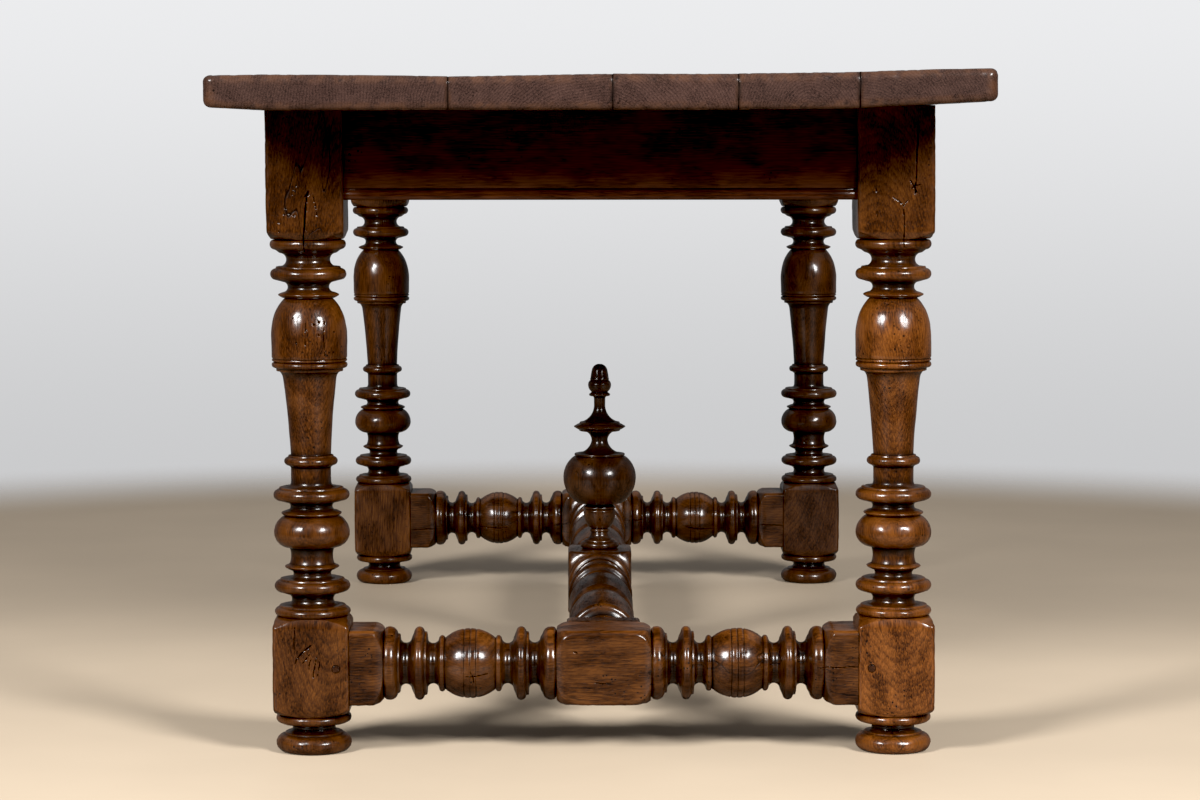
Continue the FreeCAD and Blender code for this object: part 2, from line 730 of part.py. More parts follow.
def centre_run(turning, barrel_length):
    """Turned run of the centre stretcher between two square blocks: two barrels about a waist ring."""
    radius = "stretcher_radius"
    turning.bead("centre_ring_length", radius, after="centre_ring_fillet")
    turning.cove("centre_cove_length", "centre_cove_neck")
    turning.bead("centre_thin_disc", "centre_thin_radius")
    turning.bow("centre_neck_length", "centre_neck_radius", "centre_neck_hollow", INWARD)
    turning.bead("centre_bead_length", radius, "centre_bead_fillet", "centre_bead_fillet")
    turning.cove("centre_inner_cove", "centre_inner_neck")
    turning.part_off()
    turning.bead("centre_lip_length", "centre_lip_radius")
    turning.bow(barrel_length, "centre_barrel_end_radius", "centre_barrel_rise", OUTWARD)
    turning.bead("centre_waist_ring", "centre_waist_radius")
    turning.bow(barrel_length, "centre_barrel_end_radius", "centre_barrel_rise", OUTWARD)
    turning.bead("centre_lip_length", "centre_lip_radius")
    turning.part_off()
    turning.cove("centre_inner_cove", "centre_inner_neck")
    turning.bead("centre_bead_length", radius, "centre_bead_fillet", "centre_bead_fillet")
    turning.bow("centre_neck_length", "centre_neck_radius", "centre_neck_hollow", INWARD)
    turning.bead("centre_thin_disc", "centre_thin_radius")
    turning.cove("centre_cove_length", "centre_cove_neck")
    turning.bead("centre_ring_length", radius, before="centre_ring_fillet")


def make_centre_stretcher():
    """Turned stretcher between the end stretchers, along Y; its middle block is bored for the finial."""
    body = new_node("centre_stretcher", up="stretcher_axis_height", axis=(1, 0, 0), turn=-QUARTER_TURN)
    shoulder = f"({CENTRE_CLEAR} / 2)"
    block_end = f"({shoulder} - centre_end_block)"
    ring_stack = "centre_ring_length + centre_ring_fillet + centre_cove_length"
    neck_stack = "centre_thin_disc + centre_neck_length"
    bead_stack = "centre_bead_length + 2 * centre_bead_fillet + centre_inner_cove + centre_lip_length"
    run_length = f"({block_end} - centre_middle_block / 2)"
    barrel_length = f"(({run_length} - centre_waist_ring) / 2 - ({ring_stack} + {neck_stack} + {bead_stack}))"
    turning = Turning(f"-{block_end}")
    centre_run(turning, barrel_length)
    half_block = "(centre_middle_block / 2)"
    turning.part_off(half_block)
    centre_run(turning, barrel_length)
    turning.revolve(body)
    bar(body, "middle_block", "stretcher_size", "stretcher_size", f"-{half_block}", half_block)
    bar(body, "near_block", "stretcher_size", "stretcher_size", f"-{shoulder}", f"-{block_end}")
    bar(body, "far_block", "stretcher_size", "stretcher_size", block_end, shoulder)
    cut_pommels(body, "stretcher_size", "stretcher_radius", [
        (f"-{half_block}", 1), (half_block, -1), (f"-{block_end}", -1), (block_end, 1),
    ])
    tenon_end = f"({shoulder} + stretcher_tenon_length)"
    tenon = ("stretcher_tenon_thickness", "stretcher_tenon_height")
    bar(body, "near_tenon", *tenon, f"-{tenon_end}", f"-{shoulder}")
    bar(body, "far_tenon", *tenon, shoulder, tenon_end)
    peg_holes = new_sketch(body, "peg_holes_plan", "XZ_Plane")
    peg_hole = "stretcher_peg_size + 2 * hole_clearance"
    for side in (-1, 1):
        draw_rectangle(peg_holes, "0", f"{side} * ({shoulder} + stretcher_peg_inset)", peg_hole, peg_hole)
    extrude(body, "Pocket", "peg_holes", peg_holes, "stretcher_size")
    hollow(
        body, "finial_bore", "XZ_Plane", HALF_STRETCHER, 1, "finial_dowel_length + joint_clearance",
        draw_circle, "0", "0", "finial_dowel_radius + hole_clearance",
    )


def make_finial():
    """Turned finial: a dowel below, then base, cup, ball, disc and acorn."""
    body = new_node("finial", up=f"stretcher_axis_height + {HALF_STRETCHER}")
    turning = Turning("-finial_dowel_length")
    turning.move("finial_dowel_radius")
    turning.move("finial_dowel_radius", "finial_dowel_length")
    turning.bead("finial_base_height", "finial_base_radius")
    turning.cove("finial_foot_cove", "finial_foot_neck")
    turning.bead("finial_bead_height", "finial_bead_radius")
    turning.move("finial_cup_foot_radius")
    cup_chord = slant("finial_cup_radius - finial_cup_foot_radius", "finial_cup_height")
    turning.move("finial_cup_radius", "finial_cup_height", bow_radius(cup_chord, "finial_cup_rise"), OUTWARD)
    turning.move("finial_shoulder_radius")
    turning.move("finial_shoulder_radius", "finial_shoulder_height")
    turning.bow("finial_ball_height", "finial_ball_neck", "finial_ball_radius - finial_ball_neck", OUTWARD)
    turning.part_off()
    turning.move("finial_lip_radius")
    turning.move("finial_lip_radius", "finial_lip_height")
    flare_chord = slant("finial_lip_radius - finial_waist_radius", "finial_flare_height")
    turning.move(
        "finial_waist_radius", "finial_flare_height", bow_radius(flare_chord, "finial_flare_hollow"), INWARD
    )
    foot_chord = slant("finial_disc_core - finial_waist_radius", "finial_disc_foot")
    turning.move("finial_disc_core", "finial_disc_foot", bow_radius(foot_chord, "finial_disc_hollow"), INWARD)
    turning.move("finial_disc_core", "finial_disc_fillet")
    turning.move("finial_disc_radius", "finial_disc_height / 2")
    turning.move("finial_disc_core", "finial_disc_height / 2")
    turning.move("finial_disc_core", "finial_disc_fillet")
    stem_chord = slant("finial_disc_core - finial_stem_radius", "finial_stem_height")
    stem_curve = bow_radius(stem_chord, "finial_stem_hollow")
    turning.move("finial_stem_radius", "finial_stem_height", stem_curve, INWARD)
    turning.move("finial_stem_radius", "finial_stem_top")
    turning.part_off()
    turning.bead("finial_knop_height", "finial_knop_radius")
    turning.move("finial_acorn_neck")
    turning.move("finial_acorn_neck", "finial_acorn_gap")
    acorn_rise = "finial_acorn_radius - finial_acorn_lip_radius"
    turning.bow("finial_acorn_height", "finial_acorn_lip_radius", acorn_rise, OUTWARD)
    tip_curve = bow_radius("2 * finial_tip_height", "finial_acorn_lip_radius - finial_tip_radius")
    turning.move("finial_tip_radius", "finial_tip_height", tip_curve, OUTWARD)
    turning.revolve(body)


def make_leg_pegs():
    """Round pegs through the legs' lower blocks and the end stretchers' tenons."""
    pegs = []
    for right in (-1, 1):
        for far in (-1, 1):
            peg = doc.addObject("Part::Cylinder", "leg_peg")
            peg.setExpression("Radius", bound("leg_peg_diameter / 2"))
            peg.setExpression("Height", bound("leg_peg_length"))
            place(
                peg,
                across=f"{right} * ({END_CLEAR} / 2 + leg_peg_inset)",
                along=f"{far} * (leg_spread_along / 2 + {HALF_LEG})",
                up="stretcher_axis_height",
                axis=(1, 0, 0),
                turn=far * QUARTER_TURN,
            )
            pegs.append(peg)
    new_group("leg_pegs", pegs)


def make_stretcher_pegs():
    """Square pegs down through the end stretchers' middle blocks and the centre stretcher's tenons."""
    pegs = []
    for far in (-1, 1):
        peg = doc.addObject("Part::Box", "stretcher_peg")
        for side in ("Length", "Width"):
            peg.setExpression(side, bound("stretcher_peg_size"))
        peg.setExpression("Height", bound("stretcher_peg_length"))
        place(
            peg,
            across="-stretcher_peg_size / 2",
            along=f"{far} * ({CENTRE_CLEAR} / 2 + stretcher_peg_inset) - stretcher_peg_size / 2",
            up=f"stretcher_axis_height + {HALF_STRETCHER} - stretcher_peg_length",
        )
        pegs.append(peg)
    new_group("stretcher_pegs", pegs)


def top_fixings():
    """Where a button is screwed to the top: the board, the place, and the turn that faces it to its apron."""
    side_inner = f"({SIDE_APRON_PLACE} - apron_thickness / 2 - screw_inset)"
    end_inner = f"({END_APRON_PLACE} - apron_thickness / 2 - screw_inset)"
    fixings = []
    for step in (-1, 0, 1):
        along = f"{step} * button_spacing"
        fixings.append((0, f"-{side_inner}", along, 0))
        fixings.append((BOARD_COUNT - 1, side_inner, along, HALF_TURN))
    for board in (1, BOARD_COUNT - 2):
        fixings.append((board, BOARD_CENTRES[board], f"-{end_inner}", QUARTER_TURN))
        fixings.append((board, BOARD_CENTRES[board], end_inner, -QUARTER_TURN))
    return fixings


def make_button(across, along, turn):
    """Wooden button with a tongue in the apron's groove; its screw hole is on its own Z axis."""
    body = new_body("top_button", across=across, along=along, up=UNDERSIDE, turn=turn)
    apron_face = "-screw_inset"
    tongue_end = f"{apron_face} - apron_groove_depth + joint_clearance"
    tongue_top = "-apron_groove_drop - joint_clearance"
    tongue_foot = "-apron_groove_drop - apron_groove_height + joint_clearance"
    free_end = "button_length - screw_inset"
    outline = new_sketch(body, "outline", "XZ_Plane")
    draw(outline, [
        (apron_face, "0"),
        (apron_face, tongue_top),
        (tongue_end, tongue_top),
        (tongue_end, tongue_foot),
        (apron_face, tongue_foot),
        (apron_face, "-button_thickness"),
        (free_end, "-button_thickness"),
        (free_end, "0"),
    ])
    extrude(body, "Pad", "block", outline, "button_width")
    bore = Turning("-button_thickness")
    bore.move("screw_head_radius + hole_clearance")
    bore.move("screw_radius + hole_clearance", "screw_head_height")
    bore.move("screw_radius + hole_clearance", "button_thickness - screw_head_height")
    sketch = new_sketch(body, "screw_hole_outline", "XZ_Plane")
    draw(sketch, bore.stretches[0] + [("0", bore.level)])
    spin(body, "Groove", "screw_hole", sketch)
    return body


def make_screw(across, along, turn):
    """Countersunk steel screw with a plain slot, its head flush with the button."""
    head_level = f"{UNDERSIDE} - button_thickness"
    body = new_body("button_screw", across=across, along=along, up=head_level, turn=turn)
    turning = Turning("0")
    turning.move("screw_head_radius")
    turning.move("screw_radius", "screw_head_height")
    turning.move("screw_radius", "screw_length - screw_head_height - screw_tip_length")
    turning.move("0", "screw_tip_length")
    turning.revolve(body)
    hollow(
        body, "slot", "XY_Plane", "0", -1, "screw_slot_depth",
        draw_rectangle, "0", "0", "2 * screw_head_radius + cut_overrun", "screw_slot_width",
    )
    return body


fixings = top_fixings()
for number in range(BOARD_COUNT):
    make_board(number, fixings)
for number in range(BOARD_COUNT - 1):
    make_seam_tenons(number)
make_leg("leg_near_left", -1, -1)
make_leg("leg_near_right", 1, -1)
make_leg("leg_far_left", -1, 1)
make_leg("leg_far_right", 1, 1)
make_apron("end_apron_near", END_CLEAR, "0", f"-{END_APRON_PLACE}", 0)
make_apron("end_apron_far", END_CLEAR, "0", END_APRON_PLACE, HALF_TURN)
make_apron("side_apron_left", SIDE_CLEAR, f"-{SIDE_APRON_PLACE}", "0", -QUARTER_TURN)
make_apron("side_apron_right", SIDE_CLEAR, SIDE_APRON_PLACE, "0", QUARTER_TURN)
make_end_stretcher("end_stretcher_near", -1)
make_end_stretcher("end_stretcher_far", 1)
make_centre_stretcher()
make_finial()
make_leg_pegs()
make_stretcher_pegs()
new_group("top_buttons", [make_button(*where) for _, *where in fixings])
new_group("button_screws", [make_screw(*where) for _, *where in fixings])
doc.recompute()

for item in doc.Objects:
    if "Invalid" in item.State or "Error" in item.State:
        raise RuntimeError(f"{item.Label} failed: {item.State}")
for node in nodes:
    if node.Shape.isNull() or not node.Shape.isValid():
        raise RuntimeError(f"{node.Label} has no valid shape")

os.makedirs("parts", exist_ok=True)
for node in nodes:
    node.Shape.exportStep(f"parts/{node.Label}.step")
    print(node.Label, len(node.Shape.Solids), "solids", round(node.Shape.Volume), "mm3")
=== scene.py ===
import math

import bpy
import numpy as np
from mathutils import Matrix, Vector, noise


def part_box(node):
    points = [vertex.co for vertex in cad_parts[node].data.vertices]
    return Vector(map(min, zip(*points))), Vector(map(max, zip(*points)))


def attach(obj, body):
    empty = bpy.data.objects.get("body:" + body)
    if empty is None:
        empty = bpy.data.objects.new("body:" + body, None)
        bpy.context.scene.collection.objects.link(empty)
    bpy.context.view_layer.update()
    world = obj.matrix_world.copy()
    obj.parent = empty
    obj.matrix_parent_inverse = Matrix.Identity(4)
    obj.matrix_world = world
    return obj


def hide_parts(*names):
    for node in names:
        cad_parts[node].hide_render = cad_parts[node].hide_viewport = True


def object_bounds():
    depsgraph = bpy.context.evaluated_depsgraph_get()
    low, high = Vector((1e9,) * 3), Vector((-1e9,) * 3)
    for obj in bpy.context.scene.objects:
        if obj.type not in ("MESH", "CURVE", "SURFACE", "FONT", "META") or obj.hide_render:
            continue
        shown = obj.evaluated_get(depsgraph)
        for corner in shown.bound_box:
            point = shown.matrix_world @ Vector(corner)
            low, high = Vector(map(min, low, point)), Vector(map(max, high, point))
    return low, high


# Refectory table in dark waxed wood: plank top, turned legs, stretchers and finial, all worn by long use.
# Lengths are metres, as in the frame; turned outlines are drawn in millimetres and scaled by MM.

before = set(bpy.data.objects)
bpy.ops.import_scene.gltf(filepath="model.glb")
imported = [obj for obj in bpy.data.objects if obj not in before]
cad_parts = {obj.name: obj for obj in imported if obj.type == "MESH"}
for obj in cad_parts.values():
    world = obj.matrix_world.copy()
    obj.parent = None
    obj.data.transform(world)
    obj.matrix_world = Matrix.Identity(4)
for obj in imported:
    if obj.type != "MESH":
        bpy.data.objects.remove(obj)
cad_low, cad_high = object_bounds()
MM = 0.001
BODY = "root"


# Camera, at the photograph's place

FOCAL_PIXELS = 3450
IMAGE_WIDTH = 1200
SENSOR_WIDTH = 36
CAMERA_PLACE = Vector((-0.029, -4.581, 0.713))
CAMERA_YAW = math.radians(0.37)
CAMERA_PITCH = math.radians(4.665)
CAMERA_ROLL = math.radians(0.03)


def set_camera():
    """Camera a little below the level of the top, in front of the middle of the near end."""
    forward = Vector((
        math.sin(CAMERA_YAW) * math.cos(CAMERA_PITCH),
        math.cos(CAMERA_YAW) * math.cos(CAMERA_PITCH),
        -math.sin(CAMERA_PITCH),
    ))
    level_right = Vector((math.cos(CAMERA_YAW), -math.sin(CAMERA_YAW), 0))
    level_down = forward.cross(level_right)
    right = level_right * math.cos(CAMERA_ROLL) + level_down * math.sin(CAMERA_ROLL)
    down = level_down * math.cos(CAMERA_ROLL) - level_right * math.sin(CAMERA_ROLL)
    data = bpy.data.cameras.new("camera")
    data.sensor_width = SENSOR_WIDTH
    data.lens = SENSOR_WIDTH * FOCAL_PIXELS / IMAGE_WIDTH
    camera = bpy.data.objects.new("camera", data)
    bpy.context.scene.collection.objects.link(camera)
    turned = Matrix((right, -down, -forward)).transposed().to_4x4()
    camera.matrix_world = Matrix.Translation(CAMERA_PLACE) @ turned
    bpy.context.scene.camera = camera


# Light, floor and surroundings; a fade is a range and the values at its two ends

SOFTBOX_SIZE = 1.3
SOFTBOX_POWER = 360
SOFTBOX_AIM = Vector((0, -0.5, 0.45))
SOFTBOX_PLACES = {"left_softbox": Vector((-2.75, -3.8, 2.65)), "right_softbox": Vector((2.4, -3.9, 2.6))}
WALL_COLOUR = (0.98, 0.985, 1.0, 1)
WALL_FADE = (-0.12, 0.05, 0.60, 0.86)
FRONT_TO_BACK_FADE = (-0.2, 0.6, 0.03, 0.16)
OVERHEAD_FADE = (0.4, 0.9, 0.0, 0.35)
BLACK_LEVEL = 0.006
FLOOR_SIDES = 96
FLOOR_RADIUS = 4.0
FLOOR_FADE = (1.9, 2.7, 1.0, 0.0)
FLOOR_COLOUR = (0.51, 0.41, 0.30)
FLOOR_CLOUD_SCALE = 2.2
FLOOR_CLOUD_SHADE = 0.9
# Share of the floor colour in its painted reflection
FLOOR_PAINTED_REFLECTION_SHADE = 0.3
FLOOR_ROUGHNESS = 0.6


def set_light():
    """Two softboxes in front, left and right of the camera, and a weak fill from pale surroundings."""
    for name, place in SOFTBOX_PLACES.items():
        data = bpy.data.lights.new(name, "AREA")
        data.shape = "DISK"
        data.size = SOFTBOX_SIZE
        data.energy = SOFTBOX_POWER
        lamp = bpy.data.objects.new(name, data)
        lamp.location = place
        lamp.rotation_mode = "QUATERNION"
        lamp.rotation_quaternion = (SOFTBOX_AIM - place).to_track_quat("-Z", "Y")
        bpy.context.scene.collection.objects.link(lamp)
    world = bpy.data.worlds.new("studio")
    world.use_nodes = True
    tree = world.node_tree
    tree.nodes.clear()
    direction = node(tree, "TexCoord").outputs["Generated"]
    way = node(tree, "SeparateXYZ", {0: direction}).outputs
    wall = spread(tree, way[2], *WALL_FADE)
    room = sums(tree, "ADD", spread(tree, way[1], *FRONT_TO_BACK_FADE), spread(tree, way[2], *OVERHEAD_FADE))
    seen, fill = (
        node(tree, "Background", {"Color": WALL_COLOUR, "Strength": strength}).outputs[0]
        for strength in (wall, room)
    )
    camera_ray = node(tree, "LightPath").outputs["Is Camera Ray"]
    mix = node(tree, "MixShader", {0: camera_ray, 1: fill, 2: seen})
    node(tree, "OutputWorld", {"Surface": mix.outputs[0]})
    bpy.context.scene.world = world
    view = bpy.context.scene.view_settings
    view.view_transform = "Standard"
    view.use_curve_mapping = True
    view.curve_mapping.black_level = (BLACK_LEVEL,) * 3
    view.curve_mapping.update()


def lay_floor():
    """Plain pale floor that fades into the surroundings well away from the table, painted darker where
    reflections see it.
    """
    deselect()
    bpy.ops.mesh.primitive_circle_add(vertices=FLOOR_SIDES, radius=FLOOR_RADIUS, fill_type="NGON")
    floor = bpy.context.object
    floor.name = "floor"
    material, tree, shader = new_material("pale_floor")
    put_on(floor, material)
    place = node(tree, "TexCoord").outputs["Object"]
    cloud = cloud_noise(tree, place, FLOOR_CLOUD_SCALE, 6.0)
    tone = ramp(tree, cloud, [(0.3, shade(FLOOR_COLOUR, FLOOR_CLOUD_SHADE)), (0.7, FLOOR_COLOUR)])
    # Painted reflection: glossy rays see the floor darker, so its reflection in the waxed wood is dimmed
    mirrored = node(tree, "LightPath").outputs["Is Glossy Ray"]
    tone = blend(tree, mirrored, tone, shade(FLOOR_COLOUR, FLOOR_PAINTED_REFLECTION_SHADE))
    cover = spread(tree, vector_math(tree, "LENGTH", place)["Value"], *FLOOR_FADE)
    plug(tree, shader, {"Base Color": tone, "Roughness": FLOOR_ROUGHNESS, "Alpha": cover})


# Node helpers

def plug(tree, made, inputs):
    """Set the inputs of a node to values, or link them to sockets."""
    for key, value in inputs.items():
        if isinstance(value, bpy.types.NodeSocket):
            tree.links.new(value, made.inputs[key])
        else:
            made.inputs[key].default_value = value


def node(tree, kind, inputs=None, **settings):
    """New shader node with its settings and inputs."""
    made = tree.nodes.new("ShaderNode" + kind)
    for name, value in settings.items():
        setattr(made, name, value)
    plug(tree, made, inputs or {})
    return made


def sums(tree, operation, *values):
    """Math node on values and sockets."""
    return node(tree, "Math", dict(enumerate(values)), operation=operation).outputs[0]


def times(tree, first, second):
    return sums(tree, "MULTIPLY", first, second)


def vector_math(tree, operation, *values):
    """Outputs of a vector math node on vectors and sockets."""
    return node(tree, "VectorMath", dict(enumerate(values)), operation=operation).outputs


def spread(tree, value, low, high, start=0.0, end=1.0):
    """A value between low and high, spread smoothly over another range."""
    inputs = {"Value": value, "From Min": low, "From Max": high, "To Min": start, "To Max": end}
    return node(tree, "MapRange", inputs, interpolation_type="SMOOTHSTEP").outputs[0]


def ramp(tree, value, stops):
    """Colour ramp through (position, colour) stops."""
    made = node(tree, "ValToRGB", {"Fac": value})
    elements = made.color_ramp.elements
    while len(elements) < len(stops):
        elements.new(0.5)
    for element, (position, colour) in zip(elements, stops):
        element.position = position
        element.color = (*colour, 1)
    return made.outputs["Color"]


def shade(colour, share):
    return [part * share for part in colour]


def blend(tree, share, first, second, mode="MIX"):
    """Mix of two colours, each a socket or three parts."""
    first, second = (
        colour if isinstance(colour, bpy.types.NodeSocket) else (*colour, 1) for colour in (first, second)
    )
    inputs = {0: share, 6: first, 7: second}
    return node(tree, "Mix", inputs, data_type="RGBA", blend_type=mode).outputs[2]


def stain(tree, colour, mask, share, second):
    """Colour mixed with a second one where a mask is."""
    return blend(tree, times(tree, mask, share), colour, second)


def stretched(tree, vector, across, along):
    """Coordinates scaled across and along the grain."""
    return vector_math(tree, "MULTIPLY", vector, (across, across, along))[0]


def cloud_noise(tree, vector, scale, detail):
    return node(tree, "TexNoise", {"Vector": vector, "Scale": scale, "Detail": detail}).outputs[0]


def grain_noise(tree, vector, across, along, detail):
    """Noise drawn out along the grain."""
    place = stretched(tree, vector, across, along)
    inputs = {"Vector": place, "Scale": 1.0, "Detail": detail, "Roughness": 0.55}
    return node(tree, "TexNoise", inputs).outputs[0]


def new_material(name):
    """Material with its node tree and its Principled shader."""
    material = bpy.data.materials.new(name)
    material.use_nodes = True
    return material, material.node_tree, material.node_tree.nodes["Principled BSDF"]


def put_on(piece, material):
    piece.data.materials.clear()
    piece.data.materials.append(material)


def new_group(name, place, inputs, outputs):
    """Node group with a vector input, and numbers for its other inputs and its outputs."""
    group = bpy.data.node_groups.new(name, "ShaderNodeTree")
    group.interface.new_socket(place, in_out="INPUT", socket_type="NodeSocketVector")
    for way, sockets in (("INPUT", inputs), ("OUTPUT", outputs)):
        for socket in sockets:
            group.interface.new_socket(socket, in_out=way, socket_type="NodeSocketFloat")
    return group, group.nodes.new("NodeGroupInput").outputs


# Wood figure; each noise has its scale across the grain, its scale along it and its detail

DRIFT = (9, 3)
FIBRES = (1100, 60, 2.0)
STREAKS = (460, 34, 3.0)
PATCHES = (46, 20, 2.5)
DASHES = (820, 80, 1.0)
CHECK_LINES = (32, 0.35, 1.0)
CHECK_STRETCHES = (13, 4, 1.0)
FIBRE_STRENGTH = 0.95
FIBRE_HEIGHT = 0.35
STREAK_STRENGTH = 0.42
RING_RAGGEDNESS = 0.5
LATE_WOOD_START = (0.45, 0.92)
LATE_WOOD_END = (1.0, 0.93)
LATE_WOOD_MEAN = 0.35
PORE_EDGE = (0.58, 0.62)
PORE_PATCHES = (0.60, 0.42, 0.25, 1.0)
PORE_HEIGHT = -0.8
CHECK_EDGE = (0.007, 0.002)
CHECK_PLACES = (0.60, 0.64)
CHECK_HEIGHT = -1.5


def make_figure_group():
    """Wood figure in grain coordinates: growth rings round a pith, fibres, pores and hairline checks."""
    results = ("Figure", "Pores", "Hairlines", "Mottle", "Height")
    group, entry = new_group("wood_figure", "Grain", ("Ring Width", "Wander", "Rings", "Patches"), results)
    grain = entry["Grain"]
    inputs = {"Vector": stretched(group, grain, *DRIFT), "Scale": 1.0, "Detail": 3.0}
    slow = node(group, "TexNoise", inputs).outputs["Color"]
    middle = vector_math(group, "SUBTRACT", slow, (0.5, 0.5, 0.5))[0]
    drift = node(group, "VectorMath", {0: middle, "Scale": entry["Wander"]}, operation="SCALE")
    bent = vector_math(group, "ADD", grain, drift.outputs[0])[0]
    parts = node(group, "SeparateXYZ", {0: bent}).outputs
    flat = node(group, "CombineXYZ", {0: parts[0], 1: parts[1], 2: 0.0}).outputs[0]
    radius = vector_math(group, "LENGTH", flat)["Value"]
    fibre, streak, patch, dash, line, stretch = (
        grain_noise(group, grain, *scales)
        for scales in (FIBRES, STREAKS, PATCHES, DASHES, CHECK_LINES, CHECK_STRETCHES)
    )
    ring = sums(group, "DIVIDE", radius, entry["Ring Width"])
    turns = sums(group, "FRACT", sums(group, "MULTIPLY_ADD", fibre, RING_RAGGEDNESS, ring))
    late = times(group, spread(group, turns, *LATE_WOOD_START), spread(group, turns, *LATE_WOOD_END))
    pores = times(group, spread(group, dash, *PORE_EDGE), spread(group, patch, *PORE_PATCHES))
    contour = sums(group, "ABSOLUTE", sums(group, "SUBTRACT", line, 0.5))
    hairlines = times(group, spread(group, contour, *CHECK_EDGE), spread(group, stretch, *CHECK_PLACES))
    figure = sums(group, "MULTIPLY_ADD", sums(group, "SUBTRACT", LATE_WOOD_MEAN, late), entry["Rings"], 0.5)
    strands = ((streak, STREAK_STRENGTH), (fibre, FIBRE_STRENGTH), (patch, entry["Patches"]))
    for strand, strength in strands:
        figure = sums(group, "MULTIPLY_ADD", sums(group, "SUBTRACT", strand, 0.5), strength, figure)
    height = sums(group, "MULTIPLY_ADD", pores, PORE_HEIGHT, times(group, fibre, FIBRE_HEIGHT))
    height = sums(group, "MULTIPLY_ADD", hairlines, CHECK_HEIGHT, height)
    sockets = (figure, pores, hairlines, patch, height)
    plug(group, group.nodes.new("NodeGroupOutput"), dict(zip(results, sockets)))
    return group


HOLE_SCALE = 210.0
HOLE_SPREAD = 0.16
HOLE_EDGE = (0.16, 0.10)
HOLE_HEIGHT = -1.2
CLUSTER_SCALE = 26.0
CLUSTER_EDGE = (0.62, 0.72)
DENT_SCALE = 130.0
DENT_HEIGHT = 1.7
RIPPLE_SCALE = 380.0
RIPPLE_HEIGHT = 0.45


def make_dents_group():
    """Scattered worm holes and small dents, as a mask of pits and a height."""
    group, entry = new_group("dents", "Place", ("Amount",), ("Pits", "Height"))
    place = entry["Place"]
    cells = node(group, "TexVoronoi", {"Vector": place, "Scale": HOLE_SCALE}).outputs
    clusters = cloud_noise(group, place, CLUSTER_SCALE, 2.0)
    where = spread(group, sums(group, "ADD", clusters, entry["Amount"]), *CLUSTER_EDGE)
    chance = node(group, "SeparateColor", {0: cells["Color"]}).outputs[0]
    extra = times(group, chance, HOLE_SPREAD)
    hole = spread(group, sums(group, "SUBTRACT", cells["Distance"], extra), *HOLE_EDGE)
    pits = times(group, hole, where)
    dent = times(group, cloud_noise(group, place, DENT_SCALE, 3.0), DENT_HEIGHT)
    uneven = sums(group, "MULTIPLY_ADD", cloud_noise(group, place, RIPPLE_SCALE, 2.0), RIPPLE_HEIGHT, dent)
    height = sums(group, "MULTIPLY_ADD", pits, HOLE_HEIGHT, uneven)
    plug(group, group.nodes.new("NodeGroupOutput"), {"Pits": pits, "Height": height})
    return group


# Finishes

WOOD_FIGURE = make_figure_group()
DENTS = make_dents_group()
WANDER = 0.03
RUBBED_AND_SHEEN_PATCHES = (0.42, 0.60, 0.3, 1.0)
COAT_PATCHES = (0.35, 0.65, 0.75, 1.15)
OPEN_COAT_SHARE = 0.15
# Share of the darkening in hollows: real grime and painted shade
GRIME_AND_SHADE = 0.94
BUMP_HEIGHT = 0.0005
WOODS = {
    "leg_wood": {
        "dark": (0.009, 0.0024, 0.0006), "middle": (0.036, 0.0106, 0.0018), "light": (0.085, 0.028, 0.0050),
    },
    "stretcher_wood": {
        "dark": (0.008, 0.0022, 0.0006), "middle": (0.030, 0.0090, 0.0017), "light": (0.075, 0.025, 0.0048),
        "patches": 1.15,
    },
    "finial_wood": {
        "dark": (0.005, 0.0015, 0.0005), "middle": (0.018, 0.0055, 0.0013), "light": (0.045, 0.016, 0.0035),
        "wax": 0.8,
    },
    "top_wood": {
        "dark": (0.0105, 0.0057, 0.0046), "middle": (0.0235, 0.0128, 0.0103),
        "light": (0.044, 0.0243, 0.0193), "worn": (0.075, 0.030, 0.011), "wear_and_sheen": 0.35,
        "ring": 0.0031, "rings": 0.18, "patches": 0.33, "wax": 0.4, "dents": 0.0, "bumps": 0.14,
    },
    "apron_wood": {
        "dark": (0.008, 0.0016, 0.0004), "middle": (0.026, 0.0055, 0.0009), "light": (0.06, 0.016, 0.003),
        "wax": 0.55, "dents": 0.0, "bumps": 0.2,
    },
    "peg_wood": {
        "dark": (0.008, 0.003, 0.0015), "middle": (0.020, 0.007, 0.003), "light": (0.045, 0.017, 0.007),
        "wax": 0.25,
    },
}


